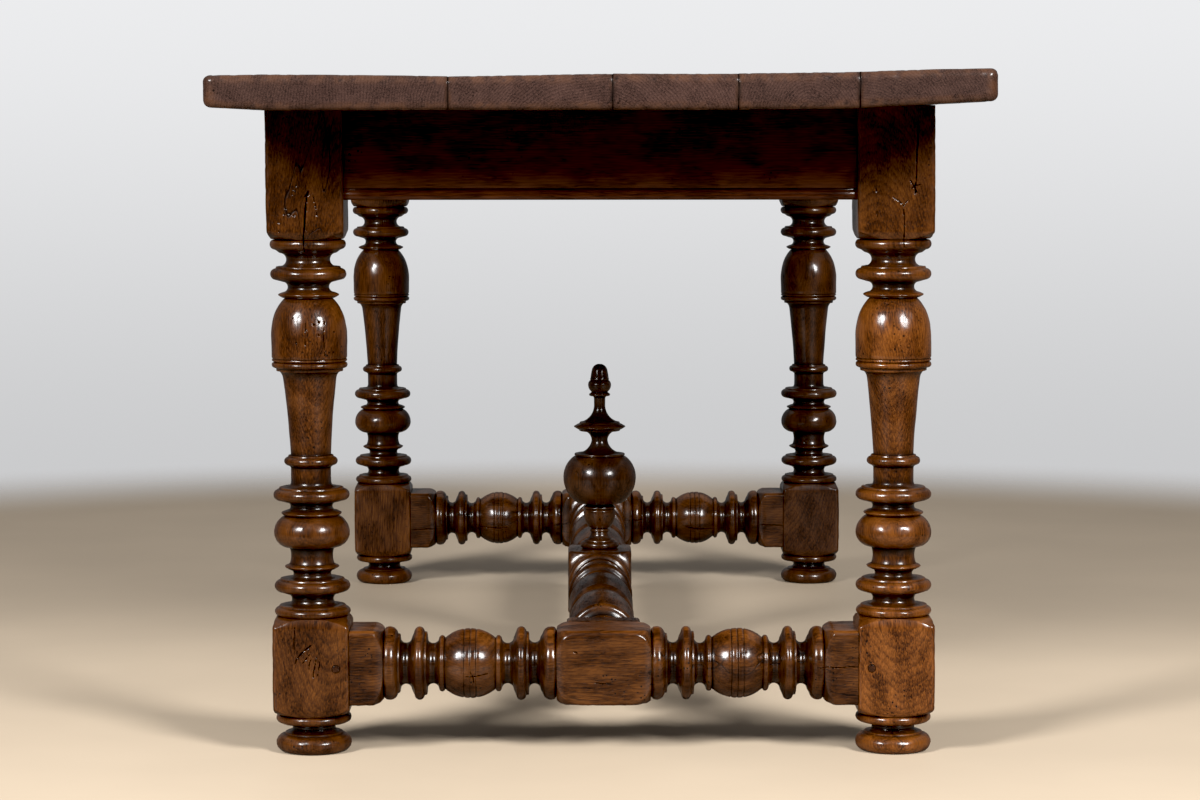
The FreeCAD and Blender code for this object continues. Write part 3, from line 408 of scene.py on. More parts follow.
def waxed_wood(
    name, dark, middle, light, worn=None, wear_and_sheen=0.28, ring=0.0030, rings=0.14, patches=0.75,
    wax=0.68, dents=0.07, bumps=0.5,
):
    """Waxed old wood for pieces that carry the attributes of age: hollows darkened by grime and painted
    shade, crests lightened by rubbing and a painted highlight, a tone with painted light and shade, thin wax.
    """
    material, tree, shader = new_material(name)
    grain = node(tree, "Attribute", attribute_name="grain").outputs["Vector"]
    crest, crevice, tone = (
        node(tree, "Attribute", attribute_name=kind).outputs["Fac"]
        for kind in ("crest", "crevice", "tone")
    )
    inputs = {"Grain": grain, "Ring Width": ring, "Wander": WANDER, "Rings": rings, "Patches": patches}
    figure = node(tree, "Group", inputs, node_tree=WOOD_FIGURE).outputs
    inputs = {"Place": node(tree, "TexCoord").outputs["Object"], "Amount": dents}
    pits = node(tree, "Group", inputs, node_tree=DENTS).outputs
    colour = ramp(tree, figure["Figure"], [(0.22, dark), (0.5, middle), (0.85, light)])
    colour = stain(tree, colour, figure["Pores"], 0.75, shade(dark, 0.35))
    colour = stain(tree, colour, figure["Hairlines"], 0.85, shade(dark, 0.2))
    # Crests lightened: real rubbed wear, and a painted highlight along worn edges and arrises
    rubbed_and_sheen = times(tree, crest, spread(tree, figure["Mottle"], *RUBBED_AND_SHEEN_PATCHES))
    colour = stain(tree, colour, rubbed_and_sheen, wear_and_sheen, worn or light)
    # The tone holds painted light on upward faces and painted shade in the necks
    grey = node(tree, "CombineColor", {0: tone, 1: tone, 2: tone}).outputs[0]
    colour = blend(tree, 1.0, colour, grey, "MULTIPLY")
    # Hollows darkened towards near black: real grime, and painted shade in the recesses
    colour = stain(tree, colour, crevice, GRIME_AND_SHADE, shade(dark, 0.18))
    colour = stain(tree, colour, pits["Pits"], 0.85, shade(dark, 0.2))
    open_grain = sums(tree, "MAXIMUM", crevice, times(tree, figure["Pores"], 0.7))
    coat = spread(tree, open_grain, 0.0, 1.0, wax, OPEN_COAT_SHARE * wax)
    coat = times(tree, coat, spread(tree, figure["Mottle"], *COAT_PATCHES))
    relief = sums(tree, "ADD", figure["Height"], pits["Height"])
    bump = node(tree, "Bump", {"Height": relief, "Strength": bumps, "Distance": BUMP_HEIGHT})
    plug(tree, shader, {
        "Base Color": colour,
        "Roughness": spread(tree, open_grain, 0.0, 1.0, 0.36, 0.65),
        "Specular IOR Level": 0.05,
        "Coat Weight": coat,
        "Coat Roughness": 0.20,
        "Normal": bump.outputs[0],
    })
    return material


FINISHES = {name: waxed_wood(name, **looks) for name, looks in WOODS.items()}


# Mesh helpers

def deselect():
    if bpy.context.object and bpy.context.object.mode != "OBJECT":
        bpy.ops.object.mode_set(mode="OBJECT")
    bpy.ops.object.select_all(action="DESELECT")


def take(piece):
    """Make a piece the only selected one, and the active one."""
    deselect()
    piece.select_set(True)
    bpy.context.view_layer.objects.active = piece


def edit(piece):
    """Open a piece in edit mode, with everything selected."""
    take(piece)
    bpy.ops.object.mode_set(mode="EDIT")
    bpy.ops.mesh.select_all(action="SELECT")


def leave():
    bpy.ops.object.mode_set(mode="OBJECT")


def pick(piece, kind, chosen):
    """Open a piece in edit mode with only the chosen points, edges or faces selected."""
    edit(piece)
    bpy.ops.mesh.select_mode(type=kind)
    bpy.ops.mesh.select_all(action="DESELECT")
    leave()
    mesh = piece.data
    parts = {"VERT": mesh.vertices, "EDGE": mesh.edges, "FACE": mesh.polygons}[kind]
    parts.foreach_set("select", np.array(chosen, dtype=bool))
    bpy.ops.object.mode_set(mode="EDIT")


def pick_edges(piece, wanted):
    """Open a piece in edit mode with only the edges selected whose two ends pass a test."""
    points = piece.data.vertices
    pick(piece, "EDGE", [wanted(*(points[end].co for end in edge.vertices)) for edge in piece.data.edges])


def round_edges(piece, radius, segments, wanted):
    """Round the edges whose two ends pass a test."""
    pick_edges(piece, wanted)
    bpy.ops.mesh.bevel(offset=radius, segments=segments, affect="EDGES")
    leave()


def cut_long_edges(piece, axis, length, spacing):
    """Cut the edges that run the length of a piece along an axis."""
    pick_edges(piece, lambda a, b: abs(a[axis] - b[axis]) > length * 0.5)
    bpy.ops.mesh.subdivide(number_cuts=int(length / spacing))
    leave()


EASE_ANGLE = math.radians(50)


def ease_edges(piece, width, segments):
    """Ease every sharp edge of a piece."""
    take(piece)
    bevel = piece.modifiers.new("ease", "BEVEL")
    bevel.width = width
    bevel.segments = segments
    bevel.limit_method = "ANGLE"
    bevel.angle_limit = EASE_ANGLE
    bpy.ops.object.modifier_apply(modifier=bevel.name)


def points_of(mesh):
    flat = np.empty(len(mesh.vertices) * 3)
    mesh.vertices.foreach_get("co", flat)
    return flat.reshape(-1, 3)


def set_points(mesh, points):
    mesh.vertices.foreach_set("co", points.ravel())
    mesh.update()


def normals_of(mesh):
    flat = np.empty(len(mesh.vertices) * 3)
    mesh.vertex_normals.foreach_get("vector", flat)
    return flat.reshape(-1, 3)


def standing_out(mesh, rounds):
    """How far each point stands out of its smoothed surroundings, in millimetres; hollows are negative."""
    points = points_of(mesh)
    ends = np.empty(len(mesh.edges) * 2, dtype=np.int64)
    mesh.edges.foreach_get("vertices", ends)
    first, second = ends[0::2], ends[1::2]
    count = len(points)
    neighbours = np.maximum(np.bincount(ends, minlength=count), 1)
    smooth = points.copy()
    for _ in range(rounds):
        for axis in range(3):
            column = smooth[:, axis]
            total = np.bincount(first, column[second], count) + np.bincount(second, column[first], count)
            smooth[:, axis] = (column + total / neighbours) / 2
    return ((points - smooth) * normals_of(mesh)).sum(axis=1) / MM


# Age and painted light: what the finishes read, and the unevenness of old surfaces

CREVICE_DEPTH = 0.95
FINE_CREVICE_DEPTH = 0.45
FINE_ROUNDS = 5
NECK_SLICE = 6
NECK_CAP = 41.5
NECK_REACH = 12
NECK_START = 4
NECK_RANGE = 13
FAR_AWAY = 1e3
GRAIN_STEP = 3.7
TOP_LIGHT_POWER = 3


def add_attribute(mesh, name, kind, values):
    attribute = mesh.attributes.new(name, kind, "POINT")
    attribute.data.foreach_set("vector" if kind == "FLOAT_VECTOR" else "value", values.ravel())


def neck_depth(points, axis):
    """How deep each point of a turned piece lies in its necks, from 0 on rings to 1 in the deepest."""
    across = [other for other in range(3) if other != axis]
    levels = (points[:, axis] - points[:, axis].min()) / MM
    coarse, fine = (levels / NECK_SLICE).astype(int), levels.astype(int)
    low = np.full((coarse.max() + 1, 2), FAR_AWAY)
    high = -low
    np.minimum.at(low, coarse, points[:, across])
    np.maximum.at(high, coarse, points[:, across])
    radius = np.hypot(*(points[:, across] - ((low + high) / 2)[coarse]).T) / MM
    radius = np.minimum(radius, NECK_CAP)
    widest = np.zeros(fine.max() + 1)
    np.maximum.at(widest, fine, radius)
    nearby = [widest[max(0, at - NECK_REACH):at + NECK_REACH + 1].max() for at in range(len(widest))]
    return np.clip((np.array(nearby)[fine] - radius - NECK_START) / NECK_RANGE, 0, 1)


def age(
    piece, grain_axis, pith, seed, lean=(0, 0), tone=((0, 1.0),), top_light=0.0, necks=0.0,
    crest_depth=1.2, rounds=24,
):
    """Write what the finish reads: grain coordinates about a pith, crests, crevices, and tone by height, with
    painted light on upward faces and neck darkening that is real grime and painted shade.
    """
    mesh = piece.data
    points = points_of(mesh)
    middle = (points.min(axis=0) + points.max(axis=0)) / 2
    across = [axis for axis in range(3) if axis != grain_axis]
    grain = (points - middle)[:, across + [grain_axis]]
    for axis in (0, 1):
        grain[:, axis] -= pith[axis] + lean[axis] * grain[:, 2]
    grain[:, 2] += seed * GRAIN_STEP
    out = standing_out(mesh, rounds)
    add_attribute(mesh, "grain", "FLOAT_VECTOR", grain)
    add_attribute(mesh, "crest", "FLOAT", np.clip(out / crest_depth, 0, 1))
    hollow = np.maximum(-out / CREVICE_DEPTH, -standing_out(mesh, FINE_ROUNDS) / FINE_CREVICE_DEPTH)
    add_attribute(mesh, "crevice", "FLOAT", np.clip(hollow, 0, 1))
    levels, tones = zip(*tone)
    # Painted light: faces that look up are painted lighter, as if lit from above
    lit_from_above = 1 + top_light * np.clip(normals_of(mesh)[:, 2], 0, 1) ** TOP_LIGHT_POWER
    # Necks between rings darkened: real grime and painted shade
    neck_grime_and_shade = 1 - necks * neck_depth(points, grain_axis) if necks else 1
    add_attribute(mesh, "tone", "FLOAT", np.interp(points[:, 2], levels, tones) * lit_from_above * neck_grime_and_shade)


SEED_SHIFTS = (11.3, 5.1, 7.7)
CREST_ROUNDS = 10
CREST_HEIGHT = 0.7
SWELL_SCALE = 38
FINE_SWELL_SCALE = 95
FINE_SWELL_SHARE = 0.3
CHIP_SCALE = 150
CHIP_START = 0.12


def weather(piece, seed, swell=0.4, chips=0.6):
    """Make a surface a little uneven, and nibble its crests."""
    mesh = piece.data
    points, normals = points_of(mesh), normals_of(mesh)
    crests = np.clip(standing_out(mesh, CREST_ROUNDS) / CREST_HEIGHT, 0, 1)
    shift = Vector([seed * step for step in SEED_SHIFTS])
    moves = np.empty(len(points))
    for index, point in enumerate(points):
        spot = Vector(point) + shift
        chip = max(noise.noise(spot * CHIP_SCALE) - CHIP_START, 0) * 2
        wave = noise.noise(spot * SWELL_SCALE) + FINE_SWELL_SHARE * noise.noise(spot * FINE_SWELL_SCALE)
        moves[index] = swell * wave - chips * crests[index] * chip
    set_points(mesh, points + normals * (moves * MM)[:, None])


RACK = 0.0065
RACK_FOOT = 0.1
SMOOTH_ANGLE = math.radians(58)


def rack(piece):
    """Lean a piece a little to the left, the more the higher, as the old frame has settled."""
    points = points_of(piece.data)
    points[:, 0] -= RACK * np.maximum(points[:, 2] - RACK_FOOT, 0)
    set_points(piece.data, points)


def settle(piece, wood, node_name):
    """Wax a finished piece and hand it to the frame: it rides on the table and stands for its node."""
    put_on(piece, FINISHES[wood])
    take(piece)
    bpy.ops.object.shade_smooth_by_angle(angle=SMOOTH_ANGLE)
    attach(piece, BODY)
    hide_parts(node_name)


# Checks and pits; each is a path in X and Z on a face that looks along Y, a width and a depth

MARK_FACING = 0.15
MARK_PASSES = ((2, 4.0), (1, 1.6))
MARK_WANDER = 0.6
MARK_WANDER_SCALE = 0.25
MARK_WANDER_LAYER = 5.5
MARK_TAPER = 0.6
MARK_LEAST_WIDTH = 0.3
MARK_STEEPNESS = 1.5


def press_of_marks(mesh, marks, place, way):
    """For each point, how deep the marks press it and how far it lies outside them, in millimetres."""
    flat = (points_of(mesh)[:, [0, 2]] - np.array(place)) / MM
    seen = normals_of(mesh)[:, 1] * way > MARK_FACING
    wander = MARK_WANDER * np.array([
        noise.noise(Vector((*(spot * MARK_WANDER_SCALE), MARK_WANDER_LAYER))) for spot in flat
    ])
    press, outside = np.zeros(len(flat)), np.full(len(flat), FAR_AWAY)
    for path, width, depth in marks:
        path = np.array(path, dtype=float)
        if len(path) == 1:
            off = np.hypot(*(flat - path[0]).T)
            outside = np.minimum(outside, np.where(seen, off - width / 2, FAR_AWAY))
            press = np.maximum(press, depth * (off < width / 2) * seen)
            continue
        steps = np.diff(path, axis=0)
        lengths = np.hypot(*steps.T)
        run = np.concatenate(([0], np.cumsum(lengths)))
        for start, step, length, done in zip(path, steps, lengths, run):
            share = np.clip((flat - start) @ step / length ** 2, 0, 1)
            off = np.hypot(*(flat - start - share[:, None] * step).T) + wander * min(width, 1)
            station = (done + share * length) / run[-1]
            opening = width / 2 * np.maximum(np.sin(np.pi * station) ** MARK_TAPER, MARK_LEAST_WIDTH)
            bite = np.clip(MARK_STEEPNESS * (1 - off / opening), 0, 1)
            outside = np.minimum(outside, np.where(seen, off - opening, FAR_AWAY))
            press = np.maximum(press, depth * bite * seen)
    return press, outside


def press_marks(piece, marks, place, way):
    """Press checks and pits into the side of a piece that looks one way along Y."""
    mesh = piece.data
    for cuts, margin in MARK_PASSES:
        outside = press_of_marks(mesh, marks, place, way)[1]
        pick(piece, "FACE", [outside[list(face.vertices)].min() < margin for face in mesh.polygons])
        bpy.ops.mesh.subdivide(number_cuts=cuts)
        leave()
    points = points_of(mesh)
    points[:, 1] -= way * (press_of_marks(mesh, marks, place, way)[0] * MM)
    set_points(mesh, points)


# Turned outlines

ARC_STEP = 1.2
OUTLINE_STEP = 0.8
OUTLINE_WEAR = 0.75
OUTLINE_SLACK = 0.035
OUTLINE_GAP = 4.5
SCRIBE_DEPTH = 1.1
SCRIBE_WIDTH = 0.7
DISC_FALL = 0.8
DISC_SHARES = (0.45, 0.2, 0.35)
RING_CREST = 0.4
RING_CURVE = 0.58
CORNER_WEAR = 1.6
SHOULDER_STEPS = 14
END_EASE = 3.0
END_EASE_LENGTH = 12
END_EASE_FADE = 10
SOFT_ZONE = (0.6, 26)
SOFT_FACTOR = 0.5
SOFT_ROUNDS = 3
WELD = 0.02 * MM


class Outline:
    """Half section of a turned piece, drawn in millimetres as radius and level from its lower end upwards."""

    def __init__(self, level=0.0):
        self.points = [(0.0, level)]
        self.scribed = []
        self.block_ends = []

    @property
    def radius(self):
        return self.points[-1][0]

    @property
    def level(self):
        return self.points[-1][1]

    def to(self, radius, rise=0.0):
        self.points.append((radius, self.level + rise))

    def arc(self, radius, rise, curve, side):
        """Arc of a curve's radius to a new radius and level; it bulges where side is 1."""
        start = np.array(self.points[-1])
        end = np.array((radius, start[1] + rise))
        along = end - start
        half = np.linalg.norm(along) / 2
        along = along / (2 * half)
        outward = np.array((along[1], -along[0]))
        curve = max(curve, half)
        centre = (start + end) / 2 - outward * side * math.sqrt(curve ** 2 - half ** 2)
        reach = math.asin(half / curve)
        steps = max(3, math.ceil(2 * reach * curve / ARC_STEP))
        for step in range(1, steps + 1):
            angle = reach * (2 * step / steps - 1)
            point = centre + curve * (math.sin(angle) * along + math.cos(angle) * side * outward)
            self.points.append(tuple(point))

    def dome(self, radius, rise):
        """Bulging arc to a new radius and level, upright at its wide end."""
        self.arc(radius, rise, bow_curve(2 * rise, abs(radius - self.radius)), 1)

    def sweep(self, radius, rise, depth):
        """Arc that leaves the straight line by a depth, hollow where the depth is negative."""
        chord = math.hypot(radius - self.radius, rise)
        self.arc(radius, rise, bow_curve(chord, abs(depth)), 1 if depth > 0 else -1)

    def bow(self, length, radius, depth):
        """Shallow swelling, or hollow where the depth is negative, between two places of one radius."""
        self.to(radius)
        self.sweep(radius, length, depth)

    def band(self, radius, length):
        self.to(radius)
        self.to(radius, length)

    def bead(self, length, radius, before=0.0, after=0.0):
        core = radius - length / 2
        self.to(core, before)
        self.arc(core, length, length / 2, 1)
        self.to(core, after)

    def disc(self, length, radius):
        """Thin disc worn to an edge."""
        foot, edge, head = (length * share for share in DISC_SHARES)
        rim = radius - length * DISC_FALL
        self.to(rim)
        self.to(radius, foot)
        self.to(radius, edge)
        self.to(rim, head)

    def cove(self, length, neck):
        lip = neck + length / 2
        self.to(lip)
        self.arc(lip, length, length / 2, -1)

    def ring(self, length, radius, fillet, block_below):
        """Bead that stands against a square block: full on the block's side, with a fillet on the other."""
        core, full = radius - length / 2, radius - length / 8
        crest, fall = length * RING_CREST, length * (1 - RING_CREST)
        if block_below:
            self.to(full)
            self.dome(radius, crest)
            self.arc(core, fall, length * RING_CURVE, 1)
            self.to(core, fillet)
        else:
            self.to(core, fillet)
            self.arc(radius, fall, length * RING_CURVE, 1)
            self.dome(full, crest)

    def block(self, length, half, rise, arch, low_end=True, high_end=True):
        """Square block drawn to its corners; shoulders arch its flats at the ends that meet a turning."""
        corner = half * math.sqrt(2) - CORNER_WEAR
        flat = math.sqrt(corner ** 2 - half ** 2)
        foot, head = self.level, self.level + length
        shoulder = [
            (math.hypot(half, flat * share), rise * share ** arch)
            for share in np.linspace(0, 1, SHOULDER_STEPS)
        ]
        if low_end:
            self.block_ends.append((foot, 1))
            self.points += [(radius, foot + level) for radius, level in shoulder]
        else:
            self.points.append((corner, foot))
        if high_end:
            self.block_ends.append((head, -1))
            self.points += [(radius, head - level) for radius, level in reversed(shoulder)]
        else:
            self.points.append((corner, head))

    def worn(self):
        """Points of the outline, its corners rounded by wear, fewer where it is straight."""
        points = np.array(self.points + [(0.0, self.level)])
        lengths = np.hypot(*np.diff(points, axis=0).T)
        run = np.concatenate(([0], np.cumsum(lengths)))
        even = np.linspace(0, run[-1], int(run[-1] / OUTLINE_STEP) + 1)
        path = np.stack([np.interp(even, run, points[:, axis]) for axis in (0, 1)], axis=1)
        reach = int(4 * OUTLINE_WEAR / OUTLINE_STEP) + 1
        weights = np.exp(-0.5 * (np.arange(-reach, reach + 1) * OUTLINE_STEP / OUTLINE_WEAR) ** 2)
        weights = weights / weights.sum()
        padded = np.pad(path, ((reach, reach), (0, 0)), mode="edge")
        rounded = np.stack([np.convolve(padded[:, axis], weights, "valid") for axis in (0, 1)], axis=1)
        rounded[0], rounded[-1] = path[0], path[-1]
        for level in self.scribed:
            rounded[:, 0] -= SCRIBE_DEPTH * np.exp(-((rounded[:, 1] - level) / SCRIBE_WIDTH) ** 2)
        return thinned(rounded)


def bow_curve(chord, rise):
    return (chord ** 2 / 4 + rise ** 2) / (2 * rise)


def thinned(points):
    """Outline without the points that its straight stretches don't need."""
    kept = [0]
    while kept[-1] < len(points) - 1:
        start = kept[-1]
        end = start + 1
        while end + 1 < len(points):
            chord = points[end + 1] - points[start]
            length = np.hypot(*chord)
            between = points[start + 1:end + 1] - points[start]
            off = np.abs(between[:, 0] * chord[1] - between[:, 1] * chord[0]) / max(length, 1e-9)
            if length > OUTLINE_GAP or off.max() > OUTLINE_SLACK:
                break
            end += 1
        kept.append(end)
    return points[kept]


def turn(name, outline, segments, half=None):
    """Spin an outline about Z; plane the flats of its blocks, ease their ends and soften their shoulders."""
    points = outline.worn()
    mesh = bpy.data.meshes.new(name)
    chain = [(index, index + 1) for index in range(len(points) - 1)]
    mesh.from_pydata([(radius * MM, 0, level * MM) for radius, level in points], chain, [])
    piece = bpy.data.objects.new(name, mesh)
    bpy.context.scene.collection.objects.link(piece)
    edit(piece)
    bpy.ops.mesh.spin(steps=segments, angle=2 * math.pi, center=(0, 0, 0), axis=(0, 0, 1))
    bpy.ops.mesh.select_all(action="SELECT")
    bpy.ops.mesh.remove_doubles(threshold=WELD)
    bpy.ops.mesh.normals_make_consistent(inside=False)
    if half is None:
        leave()
        return piece
    for way in ((1, 0, 0), (-1, 0, 0), (0, 1, 0), (0, -1, 0)):
        bpy.ops.mesh.select_all(action="SELECT")
        bpy.ops.mesh.bisect(plane_co=[axis * half * MM for axis in way], plane_no=way)
    leave()
    flat = points_of(mesh)
    flat[:, :2] = np.clip(flat[:, :2], -half * MM, half * MM)
    for level, way in outline.block_ends:
        inside = (flat[:, 2] / MM - level) * way / END_EASE_LENGTH
        ease = np.clip(1 - inside, 0, 1) ** 2 * np.clip(1 + inside * END_EASE_FADE, 0, 1)
        flat[:, :2] *= (1 - END_EASE / half * ease)[:, None]
    set_points(mesh, flat)
    soften_shoulders(piece, outline)
    return piece


def soften_shoulders(piece, outline):
    """Round the arrises between the flats and the turned shoulders of a piece that still stands about Z."""
    levels = points_of(piece.data)[:, 2] / MM
    zone = np.zeros(len(levels), dtype=bool)
    for level, way in outline.block_ends:
        inside = (levels - level) * way
        zone |= (inside > SOFT_ZONE[0]) & (inside < SOFT_ZONE[1])
    pick(piece, "VERT", zone)
    bpy.ops.mesh.vertices_smooth(factor=SOFT_FACTOR, repeat=SOFT_ROUNDS)
    leave()


def add_members(outline, members):
    """Draw members one after another; each is a stroke of an outline and its sizes."""
    for stroke, *sizes in members:
        stroke(outline, *sizes)


def copy_of(piece, name):
    twin = bpy.data.objects.new(name, piece.data.copy())
    twin.data.name = name
    bpy.context.scene.collection.objects.link(twin)
    return twin


def discard(piece):
    bpy.data.objects.remove(piece, do_unlink=True)


# Legs; lengths and radii of their members are in millimetres, from the floor upwards

LEG_LOW, LEG_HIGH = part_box("leg_near_left")
LEG_HALF = (LEG_HIGH.x - LEG_LOW.x) / 2 / MM
LEG_HEIGHT = LEG_HIGH.z / MM
LEG_RADIUS = 42.7
LEG_FILLET = 2.2
LEG_FULL_BEAD = (12.8, LEG_RADIUS, LEG_FILLET, LEG_FILLET)
LEG_THIN_DISC = 6.2
LEG_SHOULDER = (LEG_HALF, 9, 3)
LEG_SEGMENTS = 96
LEG_NECKS = 0.58
LOWER_BLOCK = 111
VASE_FOOT = 16.5
TAPER_NECK = 22.5
TAPER_FLARE = 6
TAPER_SHARE = 0.91
BULB_LENGTH = 148.3
BULB_LINES = 3.6
POST_LENGTH = 145
POST_REACH = 3.5 * MM
PEG_GAP = 0.8
PEG_SINK = 1.5


def leg_outline():
    """Leg from its bun foot, through the lower block, vase, taper and bulb, to the square post."""
    leg = Outline()
    leg.bead(19.8, LEG_RADIUS, after=LEG_FILLET)
    leg.cove(11, 24)
    leg.bead(10.3, LEG_RADIUS)
    leg.block(LOWER_BLOCK, *LEG_SHOULDER)
    leg.bead(10, LEG_RADIUS, after=LEG_FILLET)
    leg.cove(13, 23.5)
    leg.bead(*LEG_FULL_BEAD)
    leg.cove(9.9, 21)
    leg.disc(LEG_THIN_DISC, 30.8)
    leg.bow(19, 25.4, -2)
    leg.to(LEG_RADIUS - VASE_FOOT)
    leg.arc(LEG_RADIUS, VASE_FOOT, VASE_FOOT, 1)
    leg.dome(31.5, 18.9)
    leg.disc(LEG_THIN_DISC, 34.2)
    leg.cove(9.3, 23.5)
    leg.bead(*LEG_FULL_BEAD)
    leg.to(TAPER_NECK + TAPER_FLARE)
    leg.arc(TAPER_NECK, TAPER_FLARE, TAPER_FLARE, -1)
    leg.to(TAPER_NECK, 16.6)
    leg.bead(9.2, 30.2, LEG_FILLET, LEG_FILLET)
    leg.to(TAPER_NECK)
    taper = LEG_HEIGHT - POST_LENGTH - BULB_LENGTH - leg.level
    leg.sweep(29.8, taper * TAPER_SHARE, -0.8)
    leg.sweep(34.0, taper * (1 - TAPER_SHARE), -1.0)
    leg.band(37.4, 3.8)
    leg.bead(7, LEG_RADIUS)
    leg.scribed += [leg.level, leg.level + BULB_LINES]
    leg.to(LEG_RADIUS - 0.4)
    leg.to(LEG_RADIUS, 28.5)
    leg.dome(40.2, 19)
    leg.arc(26.4, 24.1, 50, 1)
    leg.disc(LEG_THIN_DISC, 34.2)
    leg.cove(11.7, 23.2)
    leg.bead(*LEG_FULL_BEAD)
    leg.cove(15.2, 24.5)
    leg.bead(12, LEG_RADIUS, before=3.6)
    leg.block(LEG_HEIGHT - leg.level, *LEG_SHOULDER, high_end=False)
    return leg


NEAR_LEFT_CHECKS = (
    (((3, 630), (2.3, 624), (0.7, 611), (0, 597), (-1.7, 580), (-1.2, 565)), 2.0, 7),
    (((9, 631), (12, 620), (13.5, 608)), 0.6, 2),
    (((4.5, 634), (3.5, 629), (0.5, 627)), 3.4, 4),
    (((-21, 614),), 2.0, 1.2),
    (((-17, 608), (-15, 607)), 2.4, 1.6),
    (((-22, 607),), 1.6, 1.2),
    (((-11, 606), (-13, 605)), 1.8, 1.4),
    (((-28.7, 598),), 1.5, 1.0),
    (((-29.3, 590), (-28, 587)), 2.4, 1.6),
    (((-8, 641), (-9, 638)), 1.3, 1.2),
    (((-11, 634),), 1.3, 1.0),
    (((-13.6, 629),), 1.1, 1.0),
    (((13.3, 608), (13, 605)), 1.4, 1.2),
    (((-0.7, 489), (-1.3, 470), (-1, 450)), 0.6, 1.5),
    (((19.5, 486), (19, 470), (20, 450)), 0.8, 1.8),
    (((7, 486), (10, 484)), 2.6, 2),
    (((13, 489), (14.5, 486)), 2.0, 1.6),
    (((20, 488), (19.5, 484)), 2.2, 1.8),
    (((0, 479),), 1.6, 1.2),
    (((13, 475), (14.5, 472)), 1.6, 1.4),
    (((30, 476),), 2.0, 1.4),
    (((-15, 492),), 1.4, 1.0),
    (((-11, 465),), 1.2, 1.0),
    (((0.7, 126), (-9, 118), (-15.6, 111), (-17, 106)), 1.2, 5),
    (((0, 117), (-8, 107), (-11.6, 103)), 0.8, 4),
    (((2.7, 115), (-1.4, 106), (-2, 99)), 0.7, 4),
    (((6.8, 114), (5.4, 106), (2.7, 94), (2, 86)), 0.7, 4),
    (((10.2, 113), (9.5, 102), (7.5, 91)), 0.6, 4),
    (((-17, 152), (-17.8, 140), (-18.6, 122)), 0.9, 3),
)
NEAR_RIGHT_CHECKS = (
    (((24.6, 712), (24, 700), (23, 684), (22, 667), (22, 650), (21, 643)), 1.5, 5),
    (((15, 645), (18, 640), (23, 630)), 2.2, 4),
    (((22, 645), (20, 638), (20.5, 629)), 2.0, 4),
    (((14, 634), (19, 638), (26, 640)), 0.9, 2.5),
    (((7, 618), (8.3, 606), (8.5, 594), (8, 579), (8.4, 566)), 1.0, 5),
    (((-6, 627), (2, 622), (7.5, 617)), 0.8, 2),
    (((13, 624), (10, 620), (8, 616)), 0.8, 2),
    (((-22, 610), (-21.5, 604)), 1.3, 1.5),
    (((-24, 640), (-22, 630)), 1.2, 1.2),
)
LEG_CHECKS = {"leg_near_left": NEAR_LEFT_CHECKS, "leg_near_right": NEAR_RIGHT_CHECKS}
LEG_AGES = {
    "leg_near_left": {
        "pith": (0.03, -0.075), "lean": (0.05, 0.22),
        "tone": ((0.16, 0.98), (0.25, 0.95), (0.48, 1.14), (0.60, 0.78)),
    },
    "leg_near_right": {
        "pith": (-0.012, -0.06), "lean": (-0.06, 0.26),
        "tone": ((0.16, 1.85), (0.25, 1.5), (0.40, 1.4), (0.48, 2.0), (0.56, 1.2), (0.60, 0.92)),
    },
    "leg_far_left": {"pith": (0.10, 0.05), "lean": (0.02, 0.04), "tone": ((0.16, 1.15), (0.6, 1.1))},
    "leg_far_right": {"pith": (-0.05, -0.09), "lean": (0.03, 0.24), "tone": ((0.16, 0.72), (0.6, 0.85))},
}


def make_legs():
    """Four legs from one turning, each with its own wear, checks and peg hole."""
    peg_low, peg_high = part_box("leg_pegs")
    peg_radius = (peg_high.z - peg_low.z) / 2
    peg_level = (peg_low.z + peg_radius) / MM
    blank = turn("leg_blank", leg_outline(), LEG_SEGMENTS, LEG_HALF)
    for seed, (name, own_age) in enumerate(LEG_AGES.items(), start=1):
        low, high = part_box(name)
        leg = copy_of(blank, name + "_worn")
        middle = (low + high) / 2
        leg.data.transform(Matrix.Translation((middle.x, middle.y, 0)))
        weather(leg, seed)
        points = points_of(leg.data)
        points[points[:, 2] > high.z - MM, 2] += POST_REACH if middle.x > 0 else 0
        set_points(leg.data, points)
        peg_place = (math.copysign(peg_high.x - peg_radius, middle.x) - middle.x) / MM
        peg_hole = (((peg_place, peg_level),), 2 * peg_radius / MM + PEG_GAP, PEG_SINK)
        marks = LEG_CHECKS.get(name, ()) + (peg_hole,)
        press_marks(leg, marks, (middle.x, 0), math.copysign(1, middle.y))
        age(leg, 2, seed=seed, necks=LEG_NECKS, **own_age)
        rack(leg)
        settle(leg, "leg_wood", name)
    discard(blank)


# Stretchers

STRETCHER_HALF = 42
STRETCHER_RADIUS = 41.6
STRETCHER_LEVEL = 99
STRETCHER_SEGMENTS = 128
STRETCHER_NECKS = 0.42
END_SHOULDER = (STRETCHER_HALF, 11, 4)
MIDDLE_SHOULDER = (STRETCHER_HALF, 22, 7)
FOOT_WEAR = 6
END_LEG_BLOCK = 37
END_MIDDLE_BLOCK = 106.4
END_RING = (15.8, STRETCHER_RADIUS, 2.6)
END_MEMBERS = (
    (Outline.cove, 12.8, 23.2),
    (Outline.bead, 11.4, STRETCHER_RADIUS, 3, 3),
    (Outline.cove, 13.6, 22.6),
    (Outline.bead, 6.6, 31.8),
)
END_MEMBERS_LENGTH = 68.8
END_BALL_LINES = 7
END_BAR_LEAN = (0.08, 0.05)
